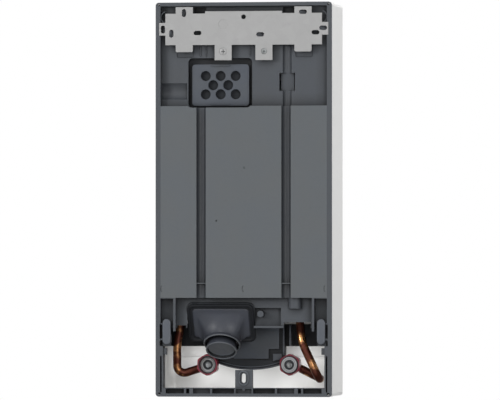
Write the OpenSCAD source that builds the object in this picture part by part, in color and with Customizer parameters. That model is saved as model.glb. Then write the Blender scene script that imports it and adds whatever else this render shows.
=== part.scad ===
// Wall-hung tankless electric water heater, as an assembly of separate pieces.
// The wall is the plane y = 0 and the hood faces -y. Depths are measured from the wall.
// x runs to the right as seen from the front, z runs up, z = 0 is at half height.

/* [Casing] */
// Width of the casing
body_w = 216; // [212:1:240]
// Height of the casing
body_h = 478; // [470:1:540]
// Depth from the wall to the front of the hood
body_d = 104; // [102:1:130]
// Corner radius of the casing outline
corner_r = 4; // [3:0.5:8]
// Wall thickness of the hood
hood_wall = 2.5; // [2:0.1:3]
// Height of the band at the rear of the hood
hood_band = 17; // [12:1:24]
// Step from the band to the side of the hood
hood_step = 0.8; // [0.4:0.1:1.2]
// Radius of the front edges of the hood
hood_edge_r = 8; // [5:0.5:12]
// Clearance between the hood and the rear panel
hood_gap = 0.3; // [0.2:0.05:0.5]
// Height of the ridge inside the front of the hood
hood_ridge = 2; // [1:0.5:3]
// Thickness of the ridge inside the hood
hood_ridge_t = 2; // [1.5:0.5:3]

/* [Rear panel] */
// Thickness of the flange at the wall
flange_t = 2.5; // [2:0.1:3.5]
// Wall thickness of the moulding
panel_t = 2.5; // [2:0.1:3]
// Width of the side rims
rim_w = 6; // [5.8:0.1:7]
// Width of the top rim
rim_top = 4.5; // [4:0.1:5.5]
// Depth of the perimeter wall of the panel
ring_d = 16; // [15:0.5:18]
// Depth of the upper recess
upper_d = 9; // [8.5:0.5:10]
// Height of the upper recess
upper_h = 121.1; // [119:0.1:126]
// Height from the bottom edge to the raised field
lower_h = 119.8; // [117:0.1:122]
// Depth of the lower recess
lower_d = 12; // [11:0.5:12.5]
// Height of the floor of the lower recess
lower_floor_h = 34; // [32:0.5:36]
// Width of the two long grooves
groove_w = 11.4; // [10:0.2:13]
// Depth of the two long grooves
groove_d = 7; // [6.6:0.1:8]
// Distance of each groove from the middle
groove_x = 52.1; // [50:0.5:56]
// Height of the cross bridge in each groove above the lower recess
bridge_up = 17; // [10:1:30]
// Thickness of the cross bridges
bridge_t = 1.2; // [1:0.1:2]
// Width of the wide pocket in the right groove
wide_w = 19; // [16:0.5:22]
// Height of the wide pocket
wide_h = 21.6; // [16:0.2:26]
// Distance from the top of the field to the wide pocket
wide_up = 18.2; // [14:0.2:24]
// Depth of the groove below the floor of the upper recess
upper_groove_d = 4; // [3:0.5:5]

/* [Wall bracket] */
// Thickness of the bracket sheet
bracket_t = 1.5; // [1:0.1:2]
// Distance from the side of the casing to the bracket body
bracket_in = 12; // [10:0.5:14]
// Height of the bracket body
bracket_h = 38.2; // [36:0.2:42]
// Distance from the top edge to the bracket body
bracket_top = 13.5; // [13:0.1:16]
// Width of the raised middle of the bracket
bracket_mid_w = 94.4; // [88:0.2:100]
// Height of the raised middle above the body
bracket_mid_h = 2.6; // [1.5:0.1:4]
// Width of the upper and lower tabs
tab_w = 21; // [18:0.5:24]
// Distance from the side of the casing to the middle of the tabs
tab_in = 35.2; // [34:0.1:38]
// Height of the upper tabs
tab_up = 7.9; // [6:0.1:8.4]
// Height of the lower tabs
tab_down = 8.5; // [6:0.1:10]
// Distance from the side of the casing to the ears
ear_in = 4.2; // [3.5:0.1:5.5]
// Height of the ears
ear_h = 15.4; // [12:0.2:18]
// Distance from the top of the body to the ears
ear_down = 11.1; // [9:0.1:13]
// Width of the two screw tabs
screw_tab_w = 20.8; // [18:0.2:24]
// Length of the two screw tabs
screw_tab_h = 18.6; // [16:0.2:20]
// Distance of the bracket screws from the middle
screw_x = 25; // [24:0.1:27]
// Distance from the lower edge of the body to the screws
screw_down = 8; // [6:0.1:10]
// Length of the fixing slots
slot_l = 9.6; // [8:0.1:11]
// Width of the fixing slots
slot_w = 5.2; // [4.5:0.1:6]
// Distance from the side of the casing to the near slot of the level pair
level_in = 19.9; // [19:0.1:22]
// Distance from the other side of the casing to the far slot of the level pair
level_far_in = 51.5; // [48:0.1:54]
// Height of the level pair above the lower edge of the bracket
slot_up = 14.6; // [10:0.1:20]
// Diameter of the round hole in the bracket
eye_hole = 5.7; // [4:0.1:7]
// Radius of the round pressed places
dimple_r = 6.2; // [5:0.1:7]
// Height of the pressed places
dimple_t = 0.5; // [0.3:0.1:0.8]
// Diameter of the bracket screws
screw_d = 3.9; // [3.5:0.1:4.5]
// Length of the bracket screws
screw_l = 13; // [11:0.5:15]
// Clearance of the sheet in the notches and round the screws
fit_gap = 0.3; // [0.2:0.05:0.5]

/* [Cable entries] */
// Distance of both cable entries from the middle
entry_x = 30; // [28:0.5:31]
// Width of the upper entry pocket
pocket_w = 78.4; // [74:0.2:80]
// Height of the upper entry pocket
pocket_h = 60.2; // [56:0.2:62]
// Distance of the pocket below the top of the field
pocket_drop = 2; // [1:0.1:4]
// Depth of the upper entry pocket
pocket_d = 21; // [18:0.5:23]
// Width of the entry seal
seal_w = 72.5; // [68:0.5:74]
// Height of the entry seal
seal_h = 50.8; // [46:0.2:54]
// Depth of the face of the entry seal
seal_d = 12; // [10:0.5:14]
// Diameter of the closed places in the seal
membrane_d = 12; // [9:0.5:13]
// Depth of the closed places
membrane_depth = 6; // [3:0.5:7]
// Spacing of the closed places
membrane_x = 18.4; // [15:0.1:20]
// Row spacing of the closed places
membrane_z = 11.2; // [10.5:0.1:12.5]
// Width of the lower grommet
grommet_w = 81.4; // [78:0.2:82]
// Height of the lower grommet along its slope
grommet_h = 51.2; // [49:0.2:53]
// Distance from the field to the top of the grommet
grommet_drop = 8.8; // [8:0.1:11]
// Depth of the top edge of the grommet
grommet_d = 5; // [4:0.1:6]
// Slope of the grommet base from upright
grommet_slope = 28.5; // [26:0.5:30]
// Thickness of the grommet flange
grommet_t = 3; // [2.5:0.1:3.5]
// Outer diameter of the ring lip
lip_dia = 45; // [43:0.5:46]
// Outer diameter of the spout
spout_dia = 38.3; // [36:0.1:39]
// Length of the spout beyond the ring lip
spout_l = 10.2; // [8:0.1:11]
// Angle of the spout below level
spout_tilt = 56.7; // [54:0.1:59]
// Wall thickness of the grommet
grommet_wall = 2; // [1.6:0.1:2.4]
// Distance from the top of the grommet to the middle of the ring lip
lip_down = 47.2; // [46:0.1:48]
// Depth of the middle of the ring lip
lip_d = 22.4; // [22:0.1:22.8]

/* [Catches] */
// Distance of the catches from the side of the casing
catch_in = 13.3; // [13:0.1:13.6]
// Width of each catch
catch_w = 10.2; // [9.4:0.1:10.8]
// Length of each catch
catch_l = 30.8; // [28:0.2:31]
// Height of the lower end of the catch above the bottom edge
catch_up = 63.4; // [63:0.1:65]
// Travel of each catch
catch_travel = 12; // [8:0.5:13]
// Thickness of the catch plate
catch_t = 4; // [3:0.1:4.2]
// Thickness of the guide ledge behind the catch
ledge_t = 2.4; // [2:0.1:2.8]
// Running clearance of the catch on its guide
catch_gap = 0.1; // [0.1:0.01:0.2]
// Width of the neck of the catch
neck_w = 4; // [3.5:0.1:5]
// Height of the neck of the catch
neck_h = 8; // [6:0.5:9]
// Height of the slot beside each catch
side_slot_h = 18; // [16:0.1:20]
// Thickness of the bar below that slot
side_bar_t = 1.8; // [1.4:0.1:2.4]

/* [Lower beam and lug] */
// Height of the bottom beam
beam_h = 10.8; // [10:0.1:12]
// Width of the side rims beside the bottom opening
low_rim_w = 9; // [8.5:0.1:10]
// Depth of the cells in the bottom beam
cell_d = 12; // [8:0.5:13]
// Height of the cells
cell_h = 5.9; // [5:0.1:6.5]
// Width of the centre lug
lug_w = 21; // [18:0.5:24]
// Height of the centre lug
lug_h = 21.7; // [20:0.1:23]
// Thickness of the centre lug
lug_t = 3.5; // [3:0.1:5]
// Width of the slot in the lug
lug_slot_w = 5.5; // [4.5:0.1:6.5]
// Length of the slot in the lug
lug_slot_l = 11.5; // [10:0.1:13]

/* [Water connections] */
// Spacing of the two water connections
port_pitch = 100; // [98:0.5:101]
// Height of the connections above the bottom edge
port_up = 38.4; // [37:0.1:39]
// Depth of the sealing faces
port_d = 38; // [37:0.1:39]
// Outer diameter of the copper pipes
pipe_dia = 10; // [9.5:0.1:10.4]
// Wall thickness of the copper pipes
pipe_wall = 1; // [0.8:0.1:1.2]
// Bend radius of the copper pipes
pipe_bend = 9; // [8:0.5:9]
// Outer diameter of the gaskets and collars
gasket_dia = 18.5; // [18:0.1:18.9]
// Inner diameter of the gaskets
gasket_hole = 12; // [11:0.1:13]
// Thickness of the gaskets
gasket_t = 2; // [1.5:0.1:2.2]
// Thickness of the pipe collars
collar_t = 2.4; // [2:0.1:2.6]
// Width across the flats of the union nuts
nut_af = 24; // [24:0.5:26]
// Length of the union nuts
nut_l = 16; // [15:0.5:17]
// Depth of the threaded socket in the nuts
nut_socket = 10.8; // [10:0.1:11]
// Diameter of the threaded socket
nut_bore = 19.6; // [19.4:0.1:20.4]
// Radial clearance of the nuts on the pipes
nut_gap = 0.1; // [0.05:0.01:0.2]
// Distance that the outlet nut is slid back
nut_back = 9; // [8:0.5:9.5]

/* [Inner carrier] */
// Depth of the carrier plate
carrier_d = 66; // [66:0.5:70]
// Thickness of the carrier
carrier_t = 2.5; // [2:0.1:3]
// Height of the lower edge of the carrier above the bottom edge
carrier_up = 60.9; // [60:0.1:62]
// Height of the carrier plate
carrier_h = 27; // [25:0.5:28]
// Radius of the round lower edge of the drum
drum_r = 113; // [108:0.5:118]
// Height of the lowest point of the drum above the bottom edge
drum_up = 32; // [31:0.5:34]
// Half width of the drum
drum_x = 42; // [38:0.5:42.5]
// Depth of the rear face of the drum
drum_d = 58; // [57.5:0.5:60]

/* [Heating block] */
// Distance from the side of the casing to the heating block
block_in = 20; // [18:1:24]
// Distance from the middle to the heating block
block_off = 8; // [6:1:12]
// Distance from the top of the field down to the heating block
block_down = 16.6; // [12:0.2:24]
// Height of the lower end of the block above the lower recess
block_up = 10; // [8:0.5:14]
// Depth of the rear face of the block
block_d = 14; // [13:0.5:15]
// Thickness of the heating block
block_t = 46; // [44:0.5:48]
// Thickness of the cover on top of the block
block_cap_t = 14; // [12:0.5:18]
// Spacing of the three water channels
channel_pitch = 22; // [20:0.5:22.5]
// Diameter of each water channel
channel_dia = 15; // [13:0.5:16]
// Outer diameter of the heating coils
coil_dia = 11; // [9:0.5:12]
// Diameter of the coil terminals
stud_dia = 4; // [3:0.5:5]
// Depth of the line of the water fittings
flow_d = 50; // [49:0.5:51]

/* [Flow parts] */
// Width of the valve body
valve_w = 28; // [26:0.5:29]
// Height of the valve body
valve_h = 30; // [28:0.5:31]
// Thickness of the valve body
valve_t = 28; // [26:0.5:29]
// Distance from the side of the casing to the inlet line
inlet_in = 22; // [21:0.5:23]
// Distance of the outlet line from the middle
outlet_x = 61.6; // [61:0.1:62]
// Height of the top of the copper pipes above the bottom edge
pipe_top_up = 93; // [92:0.1:94]
// Diameter of the valve spindle
spindle_dia = 8; // [7:0.5:9]
// Diameter of the flow sensor body
flow_dia = 24; // [22:0.5:25]
// Bore of the flow sensor
flow_bore = 18; // [16:0.5:19]
// Length of the flow sensor body
flow_l = 40; // [36:1:44]
// Length of the turbine
turbine_l = 14; // [10:0.5:16]
// Diameter of the turbine pin
pin_dia = 2; // [1.5:0.1:3]
// Running clearance of pins and spindles
run_gap = 0.05; // [0.03:0.01:0.1]
// Diameter of the link tube to the heating block
link_dia = 14; // [12:0.5:15]
// Width of the spigots below the heating block
spigot_w = 24; // [22:1:26]
// Diameter of the outlet sensor
sensor_dia = 5.8; // [5:0.1:5.8]
// Width of the safety switch
switch_w = 40; // [34:1:46]
// Height of the safety switch
switch_h = 26; // [22:1:30]
// Thickness of the safety switch
switch_t = 22; // [20:1:24]
// Diameter of the reset button
reset_dia = 7; // [6:0.5:8]
// Travel of the reset button
reset_travel = 2; // [1.5:0.1:2.5]

/* [Electrical parts] */
// Left edge of the power board
board_x = 8; // [7:0.5:10]
// Distance from the side of the casing to the power board
board_in = 12; // [10:1:15]
// Distance from the upper entry pocket down to the power board
board_down = 36.6; // [30:0.2:40]
// Height of the tallest part on the power board
part_h = 22; // [18:1:26]
// Diameter of the board screws
board_screw_dia = 2.6; // [2.2:0.1:3]
// Length of the board screws
board_screw_l = 8; // [6:0.5:9]
// Depth of the power board
board_d = 28; // [27:0.5:30]
// Thickness of the circuit boards
board_t = 1.6; // [1.2:0.1:2]
// Height of the power board above the terminal block
board_up = 16; // [14:1:20]
// Width of the terminal block
term_w = 72; // [66:1:76]
// Height of the terminal block
term_h = 26; // [24:1:28]
// Thickness of the terminal block
term_t = 24; // [22:1:26]
// Height of the terminal block above the lower recess
term_up = 22; // [20:0.5:26]
// Diameter of the terminal screws
term_screw = 5; // [4:0.5:6]
// Diameter of the inner leads
lead_dia = 4; // [3:0.5:5]
// Spacing of the power terminals
term_pitch = 16; // [14:0.5:17]

/* [Controls] */
// Height of the knob above the middle
knob_z = 70; // [50:1:90]
// Diameter of the temperature knob
knob_dia = 46; // [36:1:52]
// Depth of the temperature knob
knob_l = 11; // [9:0.5:16]
// Diameter of the encoder shaft
shaft_dia = 6; // [5:0.5:8]
// Width of the display window
window_w = 58; // [44:1:70]
// Height of the display window
window_h = 30; // [22:1:36]
// Distance from the knob to the display window
window_up = 56; // [50:1:66]
// Thickness of the display window
window_t = 2; // [1.6:0.1:2.4]
// Width of the control board
control_w = 76; // [72:1:90]
// Height of the control board
control_h = 96; // [92:1:110]
// Distance of the control board behind the front of the hood
control_in = 9; // [9:0.5:12]

/* [Hidden] */
$fn = 64;

top_z = body_h / 2;
bot_z = -body_h / 2;
side_x = body_w / 2;
field_top = top_z - rim_top - upper_h;
field_bot = bot_z + lower_h;
floor_bot = field_bot - lower_floor_h;
rim_in = side_x - rim_w;
ring_out = side_x - hood_wall - hood_gap;
ring_top = top_z - hood_wall - hood_gap;
opening_x = side_x - low_rim_w;
beam_top = bot_z + beam_h;
carrier_bot = bot_z + carrier_up;
carrier_top = carrier_bot + carrier_h;

bracket_w = body_w - 2 * bracket_in;
ear_w = body_w - 2 * ear_in;
tab_x = side_x - tab_in;
top_hole_w = 15;
top_hole_x = tab_x - tab_w / 2 - fit_gap - top_hole_w / 2;
bracket_top_z = top_z - bracket_top;
bracket_bot_z = bracket_top_z - bracket_h;
screw_z = bracket_bot_z - screw_down;

pocket_bot = field_top - pocket_drop;
pocket_z = pocket_bot + pocket_h / 2;
seal_z = pocket_bot + 2.1 + seal_h / 2;
grommet_top = field_bot - grommet_drop;
lip_z = grommet_top - lip_down;

catch_x = side_x - catch_in;
catch_low = bot_z + catch_up;
catch_mid = catch_low + catch_l / 2;
rib_x = side_x - 24.5;
rib_t = 2.9;
ledge_d = catch_t + catch_gap;
foot_d = ledge_d + ledge_t + catch_gap;
foot_t = 2.5;

port_x = port_pitch / 2;
port_z = bot_z + port_up;
collar_d = port_d + gasket_t;
cold_nut_d = collar_d + collar_t + 0.3 - nut_socket;
pipe_top = bot_z + pipe_top_up;

block_bot = field_bot + block_up;
block_top = field_top - block_down;
block_h = block_top - block_bot;
block_x = -side_x + block_in;
link_x = -block_off;
block_w = link_x - block_x;
block_mid = block_x + block_w / 2;
cooling_pitch = (block_h - block_cap_t - 32) / 8;
block_front = block_d + block_t;
flow_z = pipe_top + 15;
inlet_x = side_x - inlet_in;
valve_x = inlet_x - valve_w / 2;

board_w = side_x - board_in - board_x;
term_x = board_x + board_w / 2 - term_w / 2;
term_d = groove_d + panel_t + 1;
term_z = field_bot + term_up;
board_z = term_z + term_h + board_up;
board_h = pocket_bot - board_down - board_z;

front_in = body_d - hood_wall;
control_d = front_in - control_in;
screw_head_t = 2.2;
lip_rise = 2;
trough_z = field_top + 18;
trough_h = 20;
trough_sag = 5;
window_r = entry_x - grommet_w / 2 + 1.7;
window_l = window_r - 35;
window_top = field_bot - 12.2;
window_depth = 20;
peg_x = window_r - 10.5;
peg_z = field_bot - 19.5;
frame_side = 0.8;
trough_r = (trough_h * trough_h / 4 + trough_sag * trough_sag) / (2 * trough_sag);
hood_screw_d = 9;
hood_screw_dia = 4;
// Each cell of the beam, from and to and how deep, and the one in the middle
cells = [
  [11.5, 38.5, cell_d], [41, 62, cell_d / 2], [66.5, 70.5, cell_d], [73, 95.5, cell_d]
];
mid_cell_w = 19.6;
mid_cell_d = 5;
pin_r = 1.7;
rim_slot_w = 1.8;
cell_wall = 0.9;
side_slot_x = opening_x + 0.9;
side_slot_w = 3.1;
side_slot_low = catch_mid - side_slot_h / 2;
side_slot_spots = [
  [side_slot_low, side_slot_low + side_slot_h], [catch_low - 2, side_slot_low - side_bar_t]
];
side_slot_d = 9;
notch_near = 47.5;
notch_far = 80.6;
notch_h = 4.6;
left_end_x = 72;
rim_slot_x = opening_x + 1.6;
rim_slot_d = 9;
rim_slot_top = catch_low - 14;
lug_slot_z = beam_top + 11.9;
neck_z = catch_low + 2.5;
block_seats = [
  for (x = [block_x + 5, link_x - 5], z = [block_bot + 14, block_top - block_cap_t - 8]) [x, z]
];
board_seats = [
  [board_x + 5, board_z + 5], [board_x + 5, board_z + board_h - 5],
  [board_x + board_w - 5, board_z + 5], [board_x + board_w - 5, board_z + board_h - 5]
];
window_z = knob_z + window_up;
control_z = (knob_z + window_z) / 2;
// Every fixing slot as place and turn, from the middle and the lower edge of the body
bracket_slots = [
  [tab_x + 0.3, bracket_h + 0.7, 90], [side_x - 9, 19.1, 90], [side_x - 19.3, 13.9, 90],
  [-tab_x, bracket_h + 1.3, 0], [-20.4, 12.5, 0], [-side_x + 10.5, 20, 0]
];
bracket_seat_d = 0.7;
membranes = [
  for (row = [-1, 1], i = [-1 : 1]) [i * membrane_x, row * membrane_z],
  for (i = [-1, 1]) [i * membrane_x / 2, 0]
];
spout_axis = [0, cos(spout_tilt), -sin(spout_tilt)];
lip_at = [entry_x, -lip_d, lip_z];
pipe_start = collar_d + collar_t - 0.8;
cold_route = [
  [port_x, -pipe_start, port_z], [port_x, -collar_d - 22, port_z],
  [inlet_x + 4.5, -flow_d - 4, port_z - 13.4], [inlet_x + 4, -flow_d, port_z + 24.6],
  [inlet_x, -flow_d, pipe_top - 10], [inlet_x, -flow_d, pipe_top + 6]
];
cold_radii = [pipe_bend, pipe_bend, 60, 60];
hot_route = [
  [-port_x, -pipe_start, port_z], [-port_x, -collar_d - 27, port_z],
  [-side_x + 23.5, -collar_d - 27, port_z - 17], [-side_x + 22, -collar_d - 2, port_z - 17],
  [-outlet_x - 3.5, -flow_d + 5, pipe_top - 28], [-outlet_x, -flow_d, pipe_top - 8],
  [-outlet_x, -flow_d, pipe_top + 6]
];
hot_radii = [pipe_bend, pipe_bend, pipe_bend, 40, 30];
insert_t = 2;
insert_d = collar_d + collar_t - 0.8 - insert_t;
channel_d = block_d + block_t / 2;
inlet_low = flow_z - 14;
flow_x1 = inlet_x - valve_w / 2;
flow_x0 = flow_x1 - flow_l;
turbine_x = flow_x1 - flow_l / 2;
switch_x = block_mid;
switch_z = block_top + 2;
switch_d = block_d + 14;
guide_d = switch_d + switch_t + 4;
reset_seat_d = guide_d - 14;
sensor_z = block_bot - 8;
term_mid = term_x + term_w / 2;
term_seat = term_d + 6;
lead_d = term_d + 10;
earth_x = groove_x + groove_w / 2 + panel_t + 9;
clamp_z = field_bot + 8;
clamp_x = groove_x - groove_w / 2 - panel_t - 20;
clamp_w = 36;
clamp_h = 10;
clamp_t = 22;
clamp_bore = 14;
clamp_screw_x = 13;
clamp_screw_l = 14;
lug_plate = [10, 14, 1.5];
earth_r = 4;
term_neck_d = term_d + 14;
term_head_d = term_neck_d + 4;
// A faint raised ring marks where each bend of a tube begins
joint_l = 0.8;
joint_t = 0.05;

function unit(v) = v / norm(v);

// A right-handed placement: local z along dir, local x as near to ref as it can be
function aim(origin, dir, ref) =
  let (z = unit(dir), y = unit(cross(z, ref)), x = cross(y, z))
  [
    [x[0], y[0], z[0], origin[0]],
    [x[1], y[1], z[1], origin[1]],
    [x[2], y[2], z[2], origin[2]],
    [0, 0, 0, 1]
  ];

function square_to(dir) = abs(unit(dir)[2]) < 0.9 ? [0, 0, 1] : [1, 0, 0];

// Extrudes an outline drawn as x and z from depth d0 to depth d1
module plate(d0, d1) {
  translate([0, -d0, 0])
    rotate([90, 0, 0])
      linear_extrude(height = d1 - d0)
        children();
}

module slab(x0, x1, z0, z1, d0, d1) {
  translate([x0, -d1, z0])
    cube([x1 - x0, d1 - d0, z1 - z0]);
}

module rod(x, z, d0, d1, r) {
  translate([x, -d0, z])
    rotate([90, 0, 0])
      cylinder(h = d1 - d0, r = r);
}

module rrect(w, h, r) {
  square([w - 2 * r, h], center = true);
  square([w, h - 2 * r], center = true);
  for (x = [-1, 1], z = [-1, 1])
    translate([x * (w / 2 - r), z * (h / 2 - r)])
      circle(r);
}

// A slot with round ends, len along the first axis
module slot2(len, wid) {
  square([len - wid, wid], center = true);
  for (s = [-1, 1])
    translate([s * (len - wid) / 2, 0])
      circle(d = wid);
}

module both_sides() {
  children();
  mirror([1, 0, 0]) children();
}

// Round tube along straight runs with true arcs at the corners
module straight_run(a, b, ro, ri) {
  multmatrix(aim(a, b - a, square_to(b - a)))
    difference() {
      cylinder(h = norm(b - a), r = ro);
      if (ri > 0)
        translate([0, 0, -0.01])
          cylinder(h = norm(b - a) + 0.02, r = ri);
    }
}

function turn(p0, p1, p2) = acos(min(1, max(-1, unit(p1 - p0) * unit(p2 - p1))));
function cut_back(p0, p1, p2, rb) = rb * tan(turn(p0, p1, p2) / 2);

module corner_run(p0, p1, p2, rb, ro, ri) {
  u = unit(p1 - p0);
  v = unit(p2 - p1);
  angle = turn(p0, p1, p2);
  centre = p1 + unit(v - u) * rb / cos(angle / 2);
  start = p1 - u * cut_back(p0, p1, p2, rb);
  multmatrix(aim(centre, cross(u, v), start - centre))
    rotate_extrude(angle = angle)
      translate([rb, 0])
        difference() {
          circle(ro);
          if (ri > 0) circle(ri);
        }
}

module bend_mark(at, along, ro, ri) {
  straight_run(at - along * joint_l / 2, at + along * joint_l / 2, ro + joint_t, ri - joint_t);
}

// radii holds one bend radius for each inner point of the route
module bent_tube(points, radii, ro, ri = 0, marks = true) {
  last = len(points) - 1;
  for (i = [0 : last - 1]) {
    along = unit(points[i + 1] - points[i]);
    lead = i == 0 ? 0 : cut_back(points[i - 1], points[i], points[i + 1], radii[i - 1]);
    trail = i == last - 1 ? 0 : cut_back(points[i], points[i + 1], points[i + 2], radii[i]);
    first = points[i] + along * lead;
    end = points[i + 1] - along * trail;
    straight_run(first, end, ro, ri);
    if (i > 0) {
      corner_run(points[i - 1], points[i], points[i + 1], radii[i - 1], ro, ri);
      if (marks) bend_mark(first, along, ro, ri);
    }
    if (marks && i < last - 1) bend_mark(end, along, ro, ri);
  }
}

// A pan-head screw along the depth, its head towards the wall side when flip is 1
module pan_screw(x, z, d_head, len, d, flip = 1) {
  dir = flip;
  head = d * 0.95;
  difference() {
    union() {
      rod(x, z, min(d_head, d_head - dir * screw_head_t), max(d_head, d_head - dir * screw_head_t), head);
      rod(x, z, min(d_head, d_head + dir * len), max(d_head, d_head + dir * len), d / 2);
    }
    translate([x, -(d_head - dir * screw_head_t), z])
      for (a = [0, 90])
        rotate([0, a, 0])
          cube([d * 1.1, 2.4, d * 0.22], center = true);
  }
}

// Rear panel

module groove(x, z0, z1, d, w) {
  translate([x, 0, z0])
    linear_extrude(height = z1 - z0) {
      translate([-w / 2, -(d - w / 2)])
        square([w, d - w / 2 + 1]);
      translate([0, -(d - w / 2)])
        circle(d = w);
    }
}

module slope(d0, d1) {
  translate([entry_x, -grommet_d, grommet_top])
    rotate([-grommet_slope, 0, 0])
      plate(d0, d1)
        translate([0, -grommet_h / 2])
          children();
}

module panel_masses() {
  plate(0, flange_t) rrect(body_w, body_h, corner_r);
  // Perimeter wall
  plate(0, ring_d)
    difference() {
      rrect(2 * ring_out, 2 * ring_top, corner_r - hood_wall + 1);
      square([2 * rim_in, 2 * (top_z - rim_top)], center = true);
    }
  // Floor and walls of the upper recess
  slab(-rim_in - 1, rim_in + 1, field_top - panel_t, top_z - rim_top + 1, 0, upper_d + panel_t);
  // Backs of the grooves
  both_sides()
    slab(groove_x - groove_w / 2 - panel_t, groove_x + groove_w / 2 + panel_t,
         field_bot - 1, field_top, 0, groove_d + panel_t);
  slab(-groove_x - groove_w / 2 - panel_t, -groove_x + groove_w / 2 + panel_t,
       field_top - panel_t, bracket_bot_z + 12, 0, upper_d + upper_groove_d + panel_t);
  // Pocket of the upper cable entry
  slab(entry_x - pocket_w / 2 - panel_t, entry_x + pocket_w / 2 + panel_t,
       pocket_bot - panel_t, pocket_bot + pocket_h + panel_t, 0, pocket_d + panel_t);
  // Trough beside the entry
  slab(entry_x + pocket_w / 2, rim_in + 1, trough_z - trough_h / 2 - panel_t,
       trough_z + trough_h / 2 + panel_t, 0, upper_d + trough_sag + panel_t);
  // Floor of the lower recess
  slab(-rim_in - 1, rim_in + 1, floor_bot - panel_t, field_bot + panel_t, 0, lower_d + panel_t);
  // Bottom beam and the rims beside the opening
  slab(-rim_in - 1, rim_in + 1, rim_top - top_z - 1, beam_top, 0, ring_d);
  both_sides()
    slab(opening_x, rim_in + 1, beam_top - 1, catch_low - 2, 0, ring_d);
  // Window pocket beside the grommet
  slab(window_l - panel_t, window_r + panel_t, floor_bot - panel_t, window_top + panel_t,
       lower_d, window_depth + panel_t);
}

module panel_cuts() {
  // Upper recess
  slab(-rim_in, rim_in, field_top, top_z - rim_top, -1, upper_d);
  // Grooves in the field
  groove(groove_x, field_bot - 3, field_top + 1, groove_d, groove_w);
  groove(-groove_x, field_bot - 3, field_top + 1, groove_d, groove_w);
  translate([0, -upper_d + 1, 0])
    groove(-groove_x, field_top - 0.5, bracket_bot_z + 8, upper_groove_d + 1, groove_w);
  slab(-groove_x - wide_w / 2, -groove_x + wide_w / 2, field_top + wide_up,
       field_top + wide_up + wide_h, upper_d - 1, upper_d + upper_groove_d);
  // Upper entry pocket and its opening
  plate(-1, pocket_d)
    translate([entry_x, pocket_z])
      rrect(pocket_w, pocket_h, 5);
  plate(pocket_d - 1, pocket_d + panel_t + 1)
    translate([entry_x, seal_z])
      rrect(seal_w - 8, seal_h - 8, 4);
  // Trough
  translate([entry_x + pocket_w / 2 + 1.5, 0, 0])
    rotate([90, 0, 90])
      linear_extrude(height = rim_in - entry_x - pocket_w / 2 - 1.5)
        intersection() {
          translate([-upper_d + trough_r - trough_sag, trough_z])
            circle(trough_r);
          translate([-upper_d - trough_sag - 1, trough_z - trough_h / 2])
            square([trough_sag + 2, trough_h]);
        }
  // Shallow seats under the lower bracket tabs
  for (s = [-1, 1])
    plate(upper_d - 1, upper_d + 1)
      translate([s * tab_x, bracket_bot_z - 4])
        rrect(tab_w, 22, 2);
  // Openings behind the top edge of the bracket
  for (s = [-1, 1])
    slab(s * top_hole_x - top_hole_w / 2, s * top_hole_x + top_hole_w / 2, top_z - 12.8, top_z - 5.6,
         upper_d - 1, upper_d + panel_t + 1);
  // Notches for the ears
  slab(-ear_w / 2 - fit_gap, ear_w / 2 + fit_gap, bracket_top_z - ear_down - ear_h - fit_gap,
       bracket_top_z - ear_down + fit_gap, -1, bracket_t + fit_gap);
  // Dark openings in the rim corners
  both_sides()
    slab(side_x - 5.4, side_x - 2.8, top_z - 4, top_z - 1.6, -1, flange_t + 0.5);
  both_sides()
    slab(side_x - 6, side_x - 3, bot_z + 2.2, bot_z + 5, -1, flange_t + 0.5);
  // Lower recess between the ribs, and the catch pockets
  slab(-rib_x, rib_x, floor_bot, field_bot, -1, lower_d);
  both_sides()
    slab(rib_x + rib_t, rim_in, catch_low - 2, field_bot - 0.8, -1, lower_d);
  slab(-rib_x, rib_x, floor_bot - panel_t - 1, floor_bot + 1, -1, lower_d - lip_rise);
  // Window pocket
  slab(window_l, window_r, floor_bot, window_top, -1, window_depth);
  // Way for the grommet and its cable
  slope(-14, grommet_t + 0.2) square([grommet_w + 0.6, grommet_h + 0.6], center = true);
  slope(-1, 30) square([grommet_w - 6, grommet_h - 6], center = true);
  // Bottom opening
  slab(-opening_x, opening_x, beam_top, floor_bot - panel_t - 4, -1, flange_t + 1);
  slab(-rib_x, rib_x, beam_top, floor_bot - panel_t, -1, flange_t + 1);
  // Cells of the bottom beam
  for (c = cells)
    both_sides()
      slab(c[0], c[1], beam_top - cell_wall - cell_h, beam_top - cell_wall, -1, c[2]);
  slab(-mid_cell_w / 2, mid_cell_w / 2, beam_top - cell_wall - cell_h, beam_top - cell_wall,
       -1, mid_cell_d);
  // Slots in the rims beside the catches
  both_sides()
    for (z = side_slot_spots)
      slab(side_slot_x, side_slot_x + side_slot_w, z[0], z[1], -1, side_slot_d);
  // Floor cut back over the outlet line and beside the grommet
  slab(-notch_far, -notch_near, floor_bot - panel_t - 1, floor_bot + notch_h, -1,
       lower_d + panel_t + 1);
  slab(left_end_x, rib_x, floor_bot - panel_t - 1, floor_bot + 0.5, -1, lower_d + panel_t + 1);
  // Slots down the rims beside the opening
  both_sides()
    slab(rim_slot_x, rim_slot_x + rim_slot_w, bot_z + 5.5, rim_slot_top, -1, rim_slot_d);
  // Pilot hole for the hood screw
  translate([0, -hood_screw_d, bot_z - 1])
    cylinder(h = beam_h + 1 - 1.5, d = 3.4);
  // Pilot holes for the bracket screws
  for (s = [-1, 1])
    rod(s * screw_x, screw_z, 0, bracket_t + screw_l + 0.5, screw_d / 2);
}

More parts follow.
